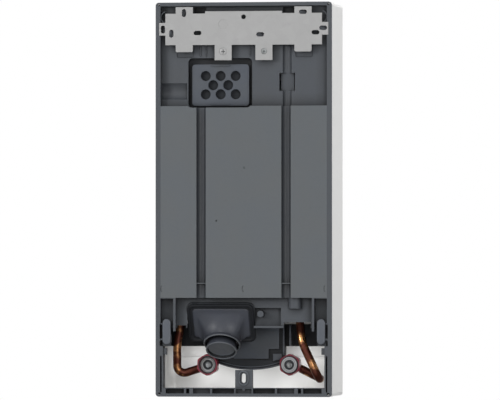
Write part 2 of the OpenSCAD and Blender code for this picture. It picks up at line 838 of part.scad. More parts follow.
module panel_details() {
  // Cross bridges in the grooves
  both_sides()
    slab(groove_x - groove_w / 2, groove_x + groove_w / 2, field_bot + bridge_up,
         field_bot + bridge_up + bridge_t, 0.6, groove_d);
  // Fine ribs on the floor of the upper recess
  for (x = [54.3, 47.2, -6.8])
    slab(x - 0.5, x + 0.5, pocket_bot + pocket_h + panel_t, bracket_bot_z + 6, upper_d - 1.2, upper_d + 1);
  // Bosses for the bracket screws
  for (s = [-1, 1])
    difference() {
      rod(s * screw_x, screw_z, bracket_t, bracket_t + screw_l + 2, 4.6);
      rod(s * screw_x, screw_z, 0, bracket_t + screw_l + 0.5, screw_d / 2);
    }
  // Curved ribs in the upper corners
  both_sides()
    plate(bracket_t + 0.5, upper_d + 1)
      translate([rim_in - 7.5, top_z - 18])
        intersection() {
          difference() {
            circle(8);
            circle(6.6);
          }
          translate([2, -8])
            square([10, 16]);
        }
  // Ribs beside the catch pockets
  both_sides()
    slab(rib_x, rib_x + rib_t, floor_bot, field_bot, 0, lower_d + 1);
  // Guide ledges of the catches
  both_sides()
    difference() {
      slab(catch_x - catch_w / 2 + 0.6, opening_x + 4, catch_low - 2, catch_low + catch_l - 4.5,
           ledge_d, ledge_d + ledge_t);
      slab(catch_x - neck_w / 2 - catch_gap, catch_x + neck_w / 2 + catch_gap, neck_z - catch_gap,
           neck_z + neck_h + catch_travel + catch_gap, ledge_d - 1, ledge_d + ledge_t + 1);
      for (z = side_slot_spots)
        slab(side_slot_x, side_slot_x + side_slot_w, z[0], z[1], ledge_d - 1, ledge_d + ledge_t + 1);
    }
  // Small boxes under the catches
  both_sides()
    slab(opening_x - 4, opening_x + 1, catch_low - 12.5, catch_low - 4.5, 2, 9);
  // Peg in the window pocket
  rod(peg_x, peg_z, lower_d - 5, window_depth + 1, 3.9);
  // Round shoulder above the outlet line
  translate([-outlet_x, 0, field_bot - 13])
    intersection() {
      translate([0, -lower_d, 0])
        cylinder(h = 13.5, r = 8.4);
      translate([-10, -lower_d - 1, 0])
        cube([20, 9, 14]);
    }
  // Sloping frame that carries the grommet
  slope(grommet_t, grommet_t + 3)
    difference() {
      rrect(grommet_w + 2 * frame_side, grommet_h + 1, 8);
      square([grommet_w - 6, grommet_h - 6], center = true);
    }
  // Centre lug
  slab(-lug_w / 2, lug_w / 2, beam_top - 1, beam_top + lug_h, 1.5, 1.5 + lug_t);
  plate(0.3, 2)
    translate([0, lug_slot_z])
      slot_ring(lug_slot_l + 4, lug_slot_w + 4, lug_slot_l, lug_slot_w);
  for (s = [-1, 1])
    slab(s * (lug_w / 2 - 0.75) - 0.75, s * (lug_w / 2 - 0.75) + 0.75, beam_top - 1,
         beam_top + lug_h, 1.5, 9);
  // Pin in the middle cell of the beam
  rod(0, beam_top - cell_wall - pin_r / 2, 0.8, mid_cell_d + 1, pin_r);
  // Seats behind the panel
  for (p = block_seats)
    rod(p[0], p[1], flange_t - 1, block_d, 5);
  for (p = board_seats)
    rod(p[0], p[1], flange_t - 1, board_d, 4);
  for (x = [term_x + 10, term_x + term_w - 10])
    slab(x - 6, x + 6, term_z + 4, term_z + term_h - 4, flange_t - 1, term_d);
  // Post behind the valve body
  rod(valve_x + 4, flow_z, lower_d + 1, flow_d - valve_t / 2, 5);
}

module slot_ring(l1, w1, l0, w0) {
  rotate(90)
    difference() {
      slot2(l1, w1);
      slot2(l0, w0);
    }
}

module rear_panel() {
  color("#63666b")
    difference() {
      union() {
        difference() {
          panel_masses();
          panel_cuts();
        }
        panel_details();
      }
      // Slot through the lug
      plate(-1, 12)
        translate([0, lug_slot_z])
          rotate(90) slot2(lug_slot_l, lug_slot_w);
      // Grommet way through the floor and the frame
      slope(-14, grommet_t) square([grommet_w + 0.6, grommet_h + 0.6], center = true);
      // Pilot holes behind the panel
      for (p = block_seats)
        rod(p[0], p[1], flange_t + 0.5, block_d + 1, 1.7);
      for (p = board_seats)
        rod(p[0], p[1], flange_t + 0.5, board_d + 1, 1.3);
      // Shallow marks in the field
      for (x = [-(side_x - 8), 0, side_x - 8])
        plate(-1, 0.4)
          translate([x - 6, field_bot + 11])
            intersection() {
              difference() {
                circle(8);
                circle(6.8);
              }
              translate([0, -3.6])
                square([10, 7.2]);
            }
      plate(-1, 0.4)
        translate([-0.8, 38.7])
          polygon([[-1.6, -1.4], [1.6, -1.4], [0, 1.6]]);
      rod(33.4, -25.8, -1, 1.2, 1);
    }
}

// Hood

module hood_profile(w, d, r, d_rear) {
  translate([-w / 2, -(d - r)])
    square([w, d - r - d_rear]);
  translate([-(w / 2 - r), -d])
    square([w - 2 * r, r + 1]);
  for (s = [-1, 1])
    translate([s * (w / 2 - r), -(d - r)])
      circle(r);
}

module hood_body(w, h, d, r, d_rear, cr) {
  intersection() {
    translate([0, 0, -h])
      linear_extrude(height = 2 * h)
        hood_profile(w, d, r, d_rear);
    rotate([0, 90, 0])
      translate([0, 0, -w])
        linear_extrude(height = 2 * w)
          hood_profile(h, d, r, d_rear);
    plate(d_rear - 1, d + 1) rrect(w, h, cr);
  }
}

module hood() {
  inner_w = body_w - 2 * hood_wall;
  inner_h = body_h - 2 * hood_wall;
  color("#e8e8e6")
    difference() {
      union() {
        difference() {
          union() {
            plate(flange_t, flange_t + hood_band) rrect(body_w, body_h, corner_r);
            hood_body(body_w - 2 * hood_step, body_h - 2 * hood_step, body_d, hood_edge_r,
                      flange_t + hood_band - 1, corner_r);
          }
          hood_body(inner_w, inner_h, front_in, hood_edge_r - hood_wall, flange_t - 1, corner_r - 1.5);
        }
        // Ridge across the inside of the front
        slab(-inner_w / 2 + 1, inner_w / 2 - 1, port_z + 7, port_z + 7 + hood_ridge_t,
             front_in - hood_ridge, front_in + 1);
        // Posts for the control board
        for (x = [-1, 1], z = [-1, 1])
          rod(x * (control_w / 2 - 5), control_z + z * (control_h / 2 - 5), control_d + board_t,
              front_in + 1, 3.5);
      }
      // Opening of the display
      plate(front_in - 1, body_d - window_t)
        translate([0, window_z])
          rrect(window_w - 6, window_h - 6, 2.5);
      plate(body_d - window_t, body_d + 1)
        translate([0, window_z])
          rrect(window_w + 0.4, window_h + 0.4, 4.2);
      // Hole for the encoder shaft
      rod(0, knob_z, front_in - 1, body_d + 1, shaft_dia / 2 + 1.5);
      // Hole for the hood screw
      translate([0, -hood_screw_d, bot_z - 1])
        cylinder(h = hood_wall + 2, d = hood_screw_dia + 0.5);
    }
}

// Wall bracket and its screws

module bracket_outline() {
  top = bracket_top_z;
  bot = bracket_bot_z;
  translate([-bracket_w / 2, bot])
    square([bracket_w, bracket_h]);
  translate([-bracket_mid_w / 2, top - 1])
    square([bracket_mid_w, bracket_mid_h + 1]);
  translate([-ear_w / 2, top - ear_down - ear_h])
    square([ear_w, ear_h]);
  for (s = [-1, 1]) {
    translate([s * tab_x - tab_w / 2, bot])
      square([tab_w, bracket_h + tab_up]);
    translate([s * tab_x, bot - tab_down / 2 + 2])
      rrect(tab_w, tab_down + 4, 2);
    translate([s * screw_x - screw_tab_w / 2, bot - screw_tab_h])
      square([screw_tab_w, screw_tab_h + 1]);
  }
}

module wall_bracket() {
  color("#b4b5b6")
    difference() {
      union() {
        plate(0, bracket_t) bracket_outline();
        rod(screw_x, bracket_bot_z + 25.1, bracket_t - 0.1, bracket_t + dimple_t, dimple_r);
      }
      for (s = bracket_slots)
        plate(-1, bracket_t + 1)
          translate([s[0], bracket_bot_z + s[1]])
            rotate(s[2]) slot2(slot_l, slot_w);
      for (x = [side_x - level_far_in, -side_x + level_in])
        plate(-1, bracket_t + 1)
          translate([x, bracket_bot_z + slot_up])
            slot2(slot_l, slot_w);
      rod(0, bracket_bot_z + 33.9, -1, bracket_t + 1, eye_hole / 2);
      rod(screw_x, bracket_bot_z + 25.1, -1, dimple_t, dimple_r - 0.6);
      for (s = [-1, 1])
        rod(s * screw_x, screw_z, -1, bracket_t + 1, screw_d / 2 + fit_gap);
      // Pressed seats for the screw heads
      for (s = [-1, 1])
        rod(s * screw_x, screw_z, -1, bracket_seat_d, s > 0 ? dimple_r - 1.6 : screw_d);
    }
}

module bracket_screws() {
  color("#a2a4a6")
    for (s = [-1, 1])
      difference() {
        union() {
          rod(s * screw_x, screw_z, 0.1, bracket_seat_d, s > 0 ? dimple_r - 1.9 : screw_d - 0.4);
          rod(s * screw_x, screw_z, bracket_seat_d - 0.1, bracket_t + screw_l, screw_d / 2);
        }
        for (a = [0, 90])
          translate([s * screw_x, 0, screw_z])
            rotate([0, a, 0])
              cube([3.2, 1.1, 0.8], center = true);
      }
}

// Cable entries

module upper_entry_seal() {
  color("#4d5156")
    difference() {
      union() {
        plate(seal_d, pocket_d)
          translate([entry_x, seal_z])
            rrect(seal_w, seal_h, 4);
        plate(pocket_d - 1, pocket_d + panel_t + 1.5)
          translate([entry_x, seal_z])
            rrect(seal_w - 8.6, seal_h - 8.6, 3.7);
        for (s = [-1, 1])
          slab(entry_x - 12, entry_x + 12, seal_z + s * (seal_h / 2 - 2) - 0.6,
               seal_z + s * (seal_h / 2 - 2) + 0.6, seal_d - 0.8, seal_d + 1);
      }
      for (p = membranes)
        rod(entry_x + p[0], seal_z + p[1], seal_d - 1, seal_d + membrane_depth, membrane_d / 2);
      // Hollow behind the closed places
      plate(seal_d + membrane_depth + 1.2, pocket_d + panel_t + 3)
        translate([entry_x, seal_z])
          rrect(seal_w - 12, seal_h - 12, 3);
    }
}

module on_spout() {
  multmatrix(aim(lip_at, spout_axis, [1, 0, 0]))
    children();
}

// The tapered body between the sloping base and the ring lip
module funnel_outside() {
  hull() {
    slope(0.6, 1) rrect(grommet_w - 11, grommet_h - 9, 6, $fn = 32);
    on_spout()
      translate([0, 0, -3])
        cylinder(h = 1, r = lip_dia / 2 - 1.5, $fn = 48);
  }
}

module funnel_inside() {
  hull() {
    slope(grommet_t + 0.5, grommet_t + 1)
      rrect(grommet_w - 11 - 2 * grommet_wall, grommet_h - 9 - 2 * grommet_wall, 5, $fn = 32);
    on_spout()
      translate([0, 0, -5.4])
        cylinder(h = 1, r = lip_dia / 2 - 1.9 - grommet_wall, $fn = 48);
  }
}

module cable_grommet() {
  spout_r = spout_dia / 2;
  color("#4a4e53")
    difference() {
      union() {
        difference() {
          union() {
            slope(0, grommet_t) rrect(grommet_w, grommet_h, 7);
            funnel_outside();
            on_spout()
              translate([0, 0, -4])
                cylinder(h = 5.2, r = lip_dia / 2);
          }
          funnel_inside();
          // Gap between the ring lip and the spout
          on_spout()
            translate([0, 0, -2.4])
              cylinder(h = 6, r = lip_dia / 2 - grommet_wall);
        }
        on_spout()
          translate([0, 0, -3.1])
            cylinder(h = spout_l + 3.1, r = spout_r);
      }
      // Hollows on both sides of the closed membrane
      on_spout()
        translate([0, 0, -7])
          cylinder(h = spout_l + 7 - 5.4, r = spout_r - grommet_wall);
      on_spout()
        translate([0, 0, spout_l - 4])
          cylinder(h = 5, r = spout_r - grommet_wall);
    }
}

// Catches

module catch_right() {
  foot_w = catch_w - 0.6;
  color("#565a5f") {
    plate(0, catch_t)
      translate([catch_x, catch_mid])
        rotate(90) slot2(catch_l, catch_w);
    slab(catch_x - neck_w / 2, catch_x + neck_w / 2, neck_z, neck_z + neck_h,
         catch_t - 0.5, foot_d + foot_t);
    slab(catch_x - foot_w / 2, catch_x + foot_w / 2, neck_z - 1.5, neck_z + neck_h + 1.5,
         foot_d, foot_d + foot_t);
  }
}

module catch_left() {
  mirror([1, 0, 0]) catch_right();
}

// Water connections

module copper_pipe(route, radii, x) {
  ro = pipe_dia / 2;
  ri = ro - pipe_wall;
  color("#8a4a24") {
    bent_tube(route, radii, ro, ri);
    difference() {
      rod(x, port_z, collar_d, collar_d + collar_t, gasket_dia / 2);
      rod(x, port_z, collar_d - 1, collar_d + collar_t - 0.8, gasket_hole / 2);
      rod(x, port_z, collar_d - 1, collar_d + collar_t + 1, ro - 0.2);
    }
  }
}

module cold_inlet_pipe() {
  copper_pipe(cold_route, cold_radii, port_x);
}

module hot_outlet_pipe() {
  copper_pipe(hot_route, hot_radii, -port_x);
}

module union_nut(x, d) {
  color("#9e1f2e")
    difference() {
      plate(d, d + nut_l)
        translate([x, port_z])
          rotate(30) circle(d = nut_af / cos(30), $fn = 6);
      rod(x, port_z, d - 1, d + nut_socket, nut_bore / 2);
      rod(x, port_z, d + nut_socket - 1, d + nut_l + 1, pipe_dia / 2 + nut_gap);
    }
}

module cold_union_nut() {
  union_nut(port_x, cold_nut_d);
}

module hot_union_nut() {
  union_nut(-port_x, cold_nut_d + nut_back);
}

module gasket(x) {
  color("#8d9094")
    difference() {
      rod(x, port_z, port_d, port_d + gasket_t, gasket_dia / 2);
      rod(x, port_z, port_d - 1, port_d + gasket_t + 1, gasket_hole / 2);
    }
}

module cold_gasket() {
  gasket(port_x);
}

module hot_gasket() {
  gasket(-port_x);
}

module port_insert(x, spokes) {
  difference() {
    rod(x, port_z, insert_d, insert_d + insert_t, gasket_hole / 2 - 0.05);
    rod(x, port_z, insert_d - 1, insert_d + insert_t + 1, gasket_hole / 2 - 1.2);
  }
  rod(x, port_z, insert_d - 1, insert_d + insert_t, 2.4);
  for (i = [0 : spokes - 1])
    translate([x, -insert_d - insert_t / 2, port_z])
      rotate([0, i * 360 / spokes, 0])
        translate([gasket_hole / 4, 0, 0])
          cube([gasket_hole / 2 - 1, insert_t, 1], center = true);
}

module inlet_strainer() {
  color("#70757a") port_insert(port_x, 6);
}

module outlet_insert() {
  color("#70757a") port_insert(-port_x, 4);
}

// Inner carrier

module inner_carrier() {
  drum_bot = bot_z + drum_up;
  leg_x = ring_out - 3;
  color("#33363a")
    difference() {
      union() {
        slab(-leg_x, leg_x, carrier_bot, carrier_top, carrier_d, carrier_d + carrier_t);
        // Side legs reach back to the wall of the rear panel
        both_sides()
          slab(leg_x - carrier_t, leg_x, carrier_bot, carrier_top, ring_d, carrier_d + carrier_t);
        plate(drum_d, carrier_d + carrier_t)
          drum_outline(drum_bot, 0);
      }
      plate(drum_d + carrier_t, carrier_d + carrier_t + 1)
        drum_outline(drum_bot + carrier_t, carrier_t);
      // Stepped relief on the face of the drum
      plate(drum_d - 1, drum_d + 1.2)
        difference() {
          translate([-drum_x + 4, drum_bot + 12])
            square([32, 39]);
          translate([-drum_x + 3, drum_bot + 11])
            square([9, 10]);
        }
    }
}

module drum_outline(low, inset) {
  intersection() {
    translate([0, low + drum_r - inset])
      circle(drum_r - inset, $fn = 128);
    translate([-drum_x + inset, low - 1])
      square([2 * (drum_x - inset), carrier_top - low + 1 - inset]);
  }
}

// Heating block

module block_envelope(d0, d1) {
  plate(d0, d1)
    translate([block_mid, (block_bot + block_top) / 2])
      rrect(block_w, block_h, 4);
}

module heating_block() {
  color("#2e3033")
    difference() {
      union() {
        block_envelope(block_d, block_front);
        // Cooling ribs on the front
        for (i = [0 : 8])
          slab(block_x + 6, link_x - 6, block_bot + 18 + i * cooling_pitch,
               block_bot + 21 + i * cooling_pitch, block_front - 1, block_front + 3);
        // Inlet and outlet spigots below
        slab(link_x - spigot_w - 2, link_x, inlet_low, block_bot + 1,
             flow_d - spigot_w / 2, flow_d + spigot_w / 2);
        slab(-outlet_x - spigot_w / 2, -outlet_x + spigot_w / 2, pipe_top, block_bot + 1,
             flow_d - spigot_w / 2, flow_d + spigot_w / 2);
      }
      // Water channels
      for (i = [-1 : 1])
        translate([block_mid + i * channel_pitch, -channel_d, block_bot + 10])
          cylinder(h = block_h - 10 - block_cap_t + 0.01, d = channel_dia);
      slab(block_x - 1, link_x + 1, block_top - block_cap_t, block_top + 1, block_d - 1, block_front + 4);
      // Socket of the link tube
      translate([link_x + 1, -flow_d, flow_z])
        rotate([0, -90, 0])
          cylinder(h = 15, d = link_dia + 2 * run_gap);
      translate([link_x - 13, -flow_d, flow_z])
        cylinder(h = block_bot + 16 - flow_z, d = 9);
      // Socket of the hot pipe
      translate([-outlet_x, -flow_d, pipe_top - 1])
        cylinder(h = 8, d = pipe_dia + 2 * run_gap);
      translate([-outlet_x, -flow_d, pipe_top])
        cylinder(h = block_bot + 16 - pipe_top, d = 8);
      // Screw holes
      for (p = block_seats)
        rod(p[0], p[1], block_d - 1, block_front + 5, 2.2);
      for (p = block_seats)
        rod(p[0], p[1], block_front - 6, block_front + 5, 3.5);
      // Sensor well
      rod(-outlet_x, sensor_z, flow_d, flow_d + spigot_w / 2 + 1, sensor_dia / 2 + fit_gap / 3);
    }
}

module block_cover() {
  color("#404347")
    difference() {
      slab(block_x, link_x, block_top - block_cap_t, block_top + 2, block_d + 2, block_front + 2);
      for (i = [-1 : 1])
        translate([block_mid + i * channel_pitch, -channel_d, block_top - block_cap_t - 1])
          cylinder(h = block_cap_t + 4, d = stud_dia + 2 * run_gap);
    }
}

module heating_coils() {
  color("#9a8f80")
    for (i = [-1 : 1])
      translate([block_mid + i * channel_pitch, -channel_d, block_bot + 10.3]) {
        cylinder(h = block_h - block_cap_t - 22, d = coil_dia);
        translate([0, 0, 1])
          cylinder(h = block_h - 2, d = stud_dia);
      }
}

module block_screws() {
  color("#a9abad")
    for (p = block_seats)
      pan_screw(p[0], p[1], block_front - 6, block_t + 2, 3.4, -1);
}

// Flow parts

module valve_body() {
  color("#3a3d41")
    difference() {
      union() {
        plate(flow_d - valve_t / 2, flow_d + valve_t / 2)
          translate([inlet_x, flow_z])
            rrect(valve_w, valve_h, 4);
        rod(inlet_x, flow_z, flow_d, flow_d + valve_t / 2 + 6, 8);
      }
      translate([inlet_x, -flow_d, pipe_top - 1])
        cylinder(h = 8, d = pipe_dia + 2 * run_gap);
      translate([inlet_x, -flow_d, pipe_top])
        cylinder(h = 15, d = 8);
      translate([inlet_x, -flow_d, flow_z])
        rotate([0, -90, 0])
          cylinder(h = valve_w, d = 10);
      rod(inlet_x, flow_z, flow_d - 6, flow_d + valve_t / 2 + 7, spindle_dia / 2 + run_gap);
    }
}

module valve_spindle() {
  color("#c9a227")
    difference() {
      union() {
        rod(inlet_x, flow_z, flow_d - 5.5, flow_d + valve_t / 2 + 9, spindle_dia / 2);
        rod(inlet_x, flow_z, flow_d + valve_t / 2 + 6.2, flow_d + valve_t / 2 + 10, spindle_dia / 2 + 2);
      }
      // Water way across the spindle
      translate([inlet_x, -flow_d, flow_z])
        rotate([0, 90, 0])
          cylinder(h = 30, d = 4, center = true);
      // Driver slot
      slab(inlet_x - 5, inlet_x + 5, flow_z - 0.6, flow_z + 0.6, flow_d + valve_t / 2 + 8,
           flow_d + valve_t / 2 + 11);
    }
}

module along_x(x0, x1, r) {
  translate([x0, -flow_d, flow_z])
    rotate([0, 90, 0])
      cylinder(h = x1 - x0, r = r);
}

module flow_sensor_body() {
  color("#5b6066")
    difference() {
      union() {
        along_x(flow_x0, flow_x1, flow_dia / 2);
        slab(turbine_x - 8, turbine_x + 8, flow_z + 6, flow_z + flow_dia / 2 + 5, flow_d - 7, flow_d + 7);
      }
      along_x(flow_x0 + 6, flow_x1 - 6, flow_bore / 2);
      along_x(flow_x0 - 1, flow_x0 + 5, link_dia / 2 + run_gap);
      // Ring of ways at each end of the chamber
      for (a = [0 : 60 : 300])
        translate([flow_x0 - 1, -flow_d + 5.5 * cos(a), flow_z + 5.5 * sin(a)])
          rotate([0, 90, 0])
            cylinder(h = flow_l + 2, r = 1.6);
      along_x(flow_x0 + 5.5, flow_x1 - 3, pin_dia / 2);
    }
}

module flow_turbine() {
  color("#d8d8d8")
    difference() {
      union() {
        along_x(turbine_x - turbine_l / 2, turbine_x + turbine_l / 2, 3);
        for (a = [0 : 60 : 300])
          translate([turbine_x, -flow_d, flow_z])
            rotate([a, 0, 0])
              translate([-turbine_l / 2 + 1, -0.6, 1])
                cube([turbine_l - 2, 1.2, flow_bore / 2 - 2]);
      }
      along_x(turbine_x - turbine_l, turbine_x + turbine_l, pin_dia / 2 + run_gap);
    }
}

module turbine_pin() {
  color("#b0b3b6") along_x(flow_x0 + 5.5, flow_x1 - 3, pin_dia / 2);
}

module link_tube() {
  color("#5b6066")
    difference() {
      along_x(link_x - 14, flow_x0 + 5, link_dia / 2);
      along_x(link_x - 15, flow_x0 + 6, link_dia / 2 - 2);
    }
}

module safety_switch() {
  color("#c7c2b4")
    difference() {
      union() {
        slab(switch_x - switch_w / 2, switch_x + switch_w / 2, switch_z, switch_z + switch_h,
             switch_d, switch_d + switch_t);
        rod(switch_x, switch_z + switch_h / 2, switch_d + switch_t - 2, guide_d, reset_dia / 2 + 2.5);
      }
      rod(switch_x, switch_z + switch_h / 2, reset_seat_d, guide_d + 1, reset_dia / 2 + run_gap);
      // Room for the middle coil terminal
      translate([block_mid, -channel_d, switch_z - 1])
        cylinder(h = 9, d = stud_dia + 1);
    }
}

module reset_button() {
  color("#b3261e")
    rod(switch_x, switch_z + switch_h / 2, reset_seat_d + reset_travel + 0.5,
        guide_d + reset_travel + 1, reset_dia / 2);
}

module thermal_cutout() {
  color("#d9d4c5") {
    rod(block_mid, block_bot + 12, block_front, block_front + 5, 6);
    slab(block_mid - 11, block_mid + 11, block_bot + 10, block_bot + 14, block_front, block_front + 1);
  }
}

module water_sensors() {
  color("#9b9ea2") {
    // Outlet sensor in its well
    rod(-outlet_x, sensor_z, flow_d + spigot_w / 6, flow_d + spigot_w / 2, sensor_dia / 2);
    rod(-outlet_x, sensor_z, flow_d + spigot_w / 2, flow_d + spigot_w * 0.75, sensor_dia - 0.8);
    // Inlet sensor on the valve body
    translate([inlet_x, -flow_d, flow_z + valve_h / 2])
      cylinder(h = 6, r = 4);
  }
}

// Electrical parts

module power_board() {
  color("#2f6b45")
    difference() {
      slab(board_x, board_x + board_w, board_z, board_z + board_h, board_d, board_d + board_t);
      for (p = board_seats)
        rod(p[0], p[1], board_d - 1, board_d + board_t + 1, board_screw_dia / 2 + 0.5);
    }
}

// Places on the power board as shares of its width and height
function board_at_x(share) = board_x + share * board_w;
function board_at_z(share) = board_z + share * board_h;

module board_part(x0, x1, z0, z1, share) {
  base = board_d + board_t;
  slab(board_at_x(x0), board_at_x(x1), board_at_z(z0), board_at_z(z1), base, base + share * part_h);
}

module board_parts() {
  color("#26282b") {
    // Three power switches on a common bar
    for (i = [0 : 2])
      board_part(0.16 + i * 0.25, 0.33 + i * 0.25, 0.09, 0.23, 0.36);
    // Relay and transformer
    board_part(0.16, 0.48, 0.31, 0.43, 0.82);
    board_part(0.57, 0.86, 0.31, 0.51, 1);
    // Processor and connectors
    board_part(0.18, 0.39, 0.585, 0.72, 0.14);
    board_part(0.57, 0.84, 0.89, 0.945, 0.41);
  }
  color("#35507a")
    for (x = [0.59, 0.77])
      rod(board_at_x(x), board_at_z(0.68), board_d + board_t, board_d + board_t + part_h,
          0.07 * board_w);
}

module board_screws() {
  color("#a9abad")
    for (p = board_seats)
      pan_screw(p[0], p[1], board_d + board_t, board_screw_l, board_screw_dia, -1);
}

module terminal_block() {
  color("#d6d3c8")
    difference() {
      slab(term_x, term_x + term_w, term_z, term_z + term_h, term_d, term_d + term_t);
      for (i = [-1.5 : 1 : 1.5]) {
        rod(term_mid + i * term_pitch, term_z + term_h / 2, term_seat, term_d + term_t + 1, term_screw);
        translate([term_mid + i * term_pitch, -lead_d, term_z - 1])
          cylinder(h = term_h / 2, r = 3.2);
        translate([term_mid + i * term_pitch, -lead_d, term_z + term_h / 2])
          cylinder(h = term_h / 2 + 1, r = lead_dia / 2);
      }
    }
}

module terminal_screws() {
  color("#c2a14a")
    for (i = [-1.5 : 1 : 1.5])
      difference() {
        union() {
          rod(term_mid + i * term_pitch, term_z + term_h / 2, term_seat + 0.3, term_neck_d, term_screw - 0.3);
          rod(term_mid + i * term_pitch, term_z + term_h / 2, term_neck_d, term_head_d, term_screw - 1);
        }
        slab(term_mid + i * term_pitch - term_screw, term_mid + i * term_pitch + term_screw,
             term_z + term_h / 2 - 0.5, term_z + term_h / 2 + 0.5, term_head_d - 1.5, term_head_d + 1);
      }
}

module earth_lug() {
  color("#c9ccd0") {
    slab(earth_x - lug_plate[0] / 2, earth_x + lug_plate[0] / 2, field_bot + 6,
         field_bot + 6 + lug_plate[1], flange_t, flange_t + lug_plate[2]);
    rod(earth_x, field_bot + 12, flange_t + 1, flange_t + 5, earth_r);
  }
}

module cable_clamp() {
  color("#e2dfd6")
    difference() {
      slab(clamp_x - clamp_w / 2, clamp_x + clamp_w / 2, clamp_z - clamp_h / 2,
           clamp_z + clamp_h / 2, flange_t, flange_t + clamp_t);
      translate([clamp_x, -flange_t - clamp_t / 2, clamp_z - clamp_h])
        cylinder(h = 2 * clamp_h, d = clamp_bore);
      for (s = [-1, 1])
        rod(clamp_x + s * clamp_screw_x, clamp_z, flange_t + 2, flange_t + clamp_t + 1, 1.7);
    }
}

module clamp_screws() {
  color("#a9abad")
    for (s = [-1, 1])
      pan_screw(clamp_x + s * clamp_screw_x, clamp_z, flange_t + clamp_t, clamp_screw_l, 3.4, -1);
}

module inner_leads() {
  z0 = term_z + term_h / 2 + term_screw;
  color("#2c3e50")
    for (i = [0 : 2])
      bent_tube([
        [term_mid + (i - 1.5) * term_pitch, -lead_d, z0],
        [term_mid + (i - 1.5) * term_pitch, -lead_d, term_z + term_h + 7],
        [term_mid + (i - 1.5) * term_pitch, -board_d - board_t - 14, term_z + term_h + 7],
        [term_mid + (i - 1.5) * term_pitch, -board_d - board_t - 14, board_z + 6],
        [term_mid + (i - 1.5) * term_pitch, -board_d - board_t, board_z + 6]
      ], [4, 4, 4], lead_dia / 2 - 0.1, marks = false);
}

// Controls

module control_board() {
  color("#2f6b45")
    slab(-control_w / 2, control_w / 2, control_z - control_h / 2, control_z + control_h / 2,
         control_d, control_d + board_t);
}

module encoder_body() {
  color("#7c8085")
    difference() {
      slab(-7, 7, knob_z - 7, knob_z + 7, control_d + board_t, front_in - 1.5);
      rod(0, knob_z, control_d + board_t + 1.5, body_d, shaft_dia / 2 + run_gap);
    }
}

module encoder_shaft() {
  color("#b9bcc0")
    rod(0, knob_z, control_d + board_t + 1.8, body_d + knob_l - 3, shaft_dia / 2);
}

module knob() {
  color("#c8cacc")
    difference() {
      union() {
        rod(0, knob_z, body_d + 0.5, body_d + knob_l - 1.5, knob_dia / 2);
        rod(0, knob_z, body_d + knob_l - 1.6, body_d + knob_l, knob_dia / 2 - 1.5);
      }
      // Socket for the shaft
      rod(0, knob_z, body_d, body_d + knob_l - 3, shaft_dia / 2);
      // Pointer
      slab(-0.7, 0.7, knob_z + knob_dia / 2 - 9, knob_z + knob_dia / 2 - 3, body_d + knob_l - 0.6,
           body_d + knob_l + 1);
    }
}

module display_module() {
  color("#20242a")
    slab(-window_w / 2 + 4, window_w / 2 - 4, window_z - window_h / 2 + 4, window_z + window_h / 2 - 4,
         control_d + board_t, body_d - window_t - 0.3);
}

module display_window() {
  color("#1a1c20")
    plate(body_d - window_t, body_d)
      translate([0, window_z])
        rrect(window_w, window_h, 4);
}

module hood_screw() {
  color("#a9abad")
    translate([0, -hood_screw_d, bot_z])
      difference() {
        union() {
          translate([0, 0, 0.2])
            cylinder(h = hood_wall - 0.2, d = hood_screw_dia);
          translate([0, 0, hood_wall])
            cylinder(h = beam_h - 4, d = 3.4);
        }
        translate([0, 0, 0.2])
          cube([2.4, 0.6, 1.2], center = true);
      }
}

rear_panel();
hood();
wall_bracket();
bracket_screws();
upper_entry_seal();
cable_grommet();
catch_left();
catch_right();
cold_inlet_pipe();
hot_outlet_pipe();
cold_union_nut();
hot_union_nut();
cold_gasket();
hot_gasket();
inlet_strainer();
outlet_insert();
inner_carrier();
heating_block();
block_cover();
heating_coils();
block_screws();
flow_sensor_body();
flow_turbine();
turbine_pin();
valve_body();
valve_spindle();
link_tube();
safety_switch();
reset_button();
thermal_cutout();
water_sensors();
power_board();
board_parts();
board_screws();
terminal_block();
terminal_screws();
earth_lug();
cable_clamp();
clamp_screws();
inner_leads();
control_board();
encoder_body();
encoder_shaft();
knob();
display_module();
display_window();
hood_screw();
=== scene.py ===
"""Looks of a wall-hung tankless electric water heater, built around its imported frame.

The frame is in metres. x runs to the right as seen from the front, y into the wall, z up.
Sizes in the classes are in millimetres, and lengths are counted from the wall as depths.
"""

import logging
import math
from dataclasses import dataclass
from enum import Enum
from typing import Callable, Sequence

import bmesh
import bpy
from mathutils import Matrix, Vector


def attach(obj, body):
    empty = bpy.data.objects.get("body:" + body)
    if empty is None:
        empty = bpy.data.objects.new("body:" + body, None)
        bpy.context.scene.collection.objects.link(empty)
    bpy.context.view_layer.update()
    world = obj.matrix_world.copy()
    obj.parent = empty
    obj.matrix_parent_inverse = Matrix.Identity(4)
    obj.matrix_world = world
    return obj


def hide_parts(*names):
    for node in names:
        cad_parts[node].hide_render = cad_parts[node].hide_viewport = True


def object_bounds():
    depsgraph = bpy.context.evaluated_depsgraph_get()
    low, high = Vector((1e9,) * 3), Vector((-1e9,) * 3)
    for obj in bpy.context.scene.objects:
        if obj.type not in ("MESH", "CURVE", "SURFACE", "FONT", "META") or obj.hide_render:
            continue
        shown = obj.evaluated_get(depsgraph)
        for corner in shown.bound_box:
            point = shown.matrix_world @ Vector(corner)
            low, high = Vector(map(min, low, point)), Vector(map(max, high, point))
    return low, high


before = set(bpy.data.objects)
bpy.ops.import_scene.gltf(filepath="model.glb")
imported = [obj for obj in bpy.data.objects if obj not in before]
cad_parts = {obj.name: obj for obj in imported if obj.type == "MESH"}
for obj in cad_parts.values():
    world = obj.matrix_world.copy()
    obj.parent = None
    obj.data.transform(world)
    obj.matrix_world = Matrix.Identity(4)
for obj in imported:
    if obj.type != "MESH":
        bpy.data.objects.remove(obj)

CAD_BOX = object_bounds()
MM = 0.001
LOG = logging.getLogger("water_heater")
TURN_NAME = "turn"
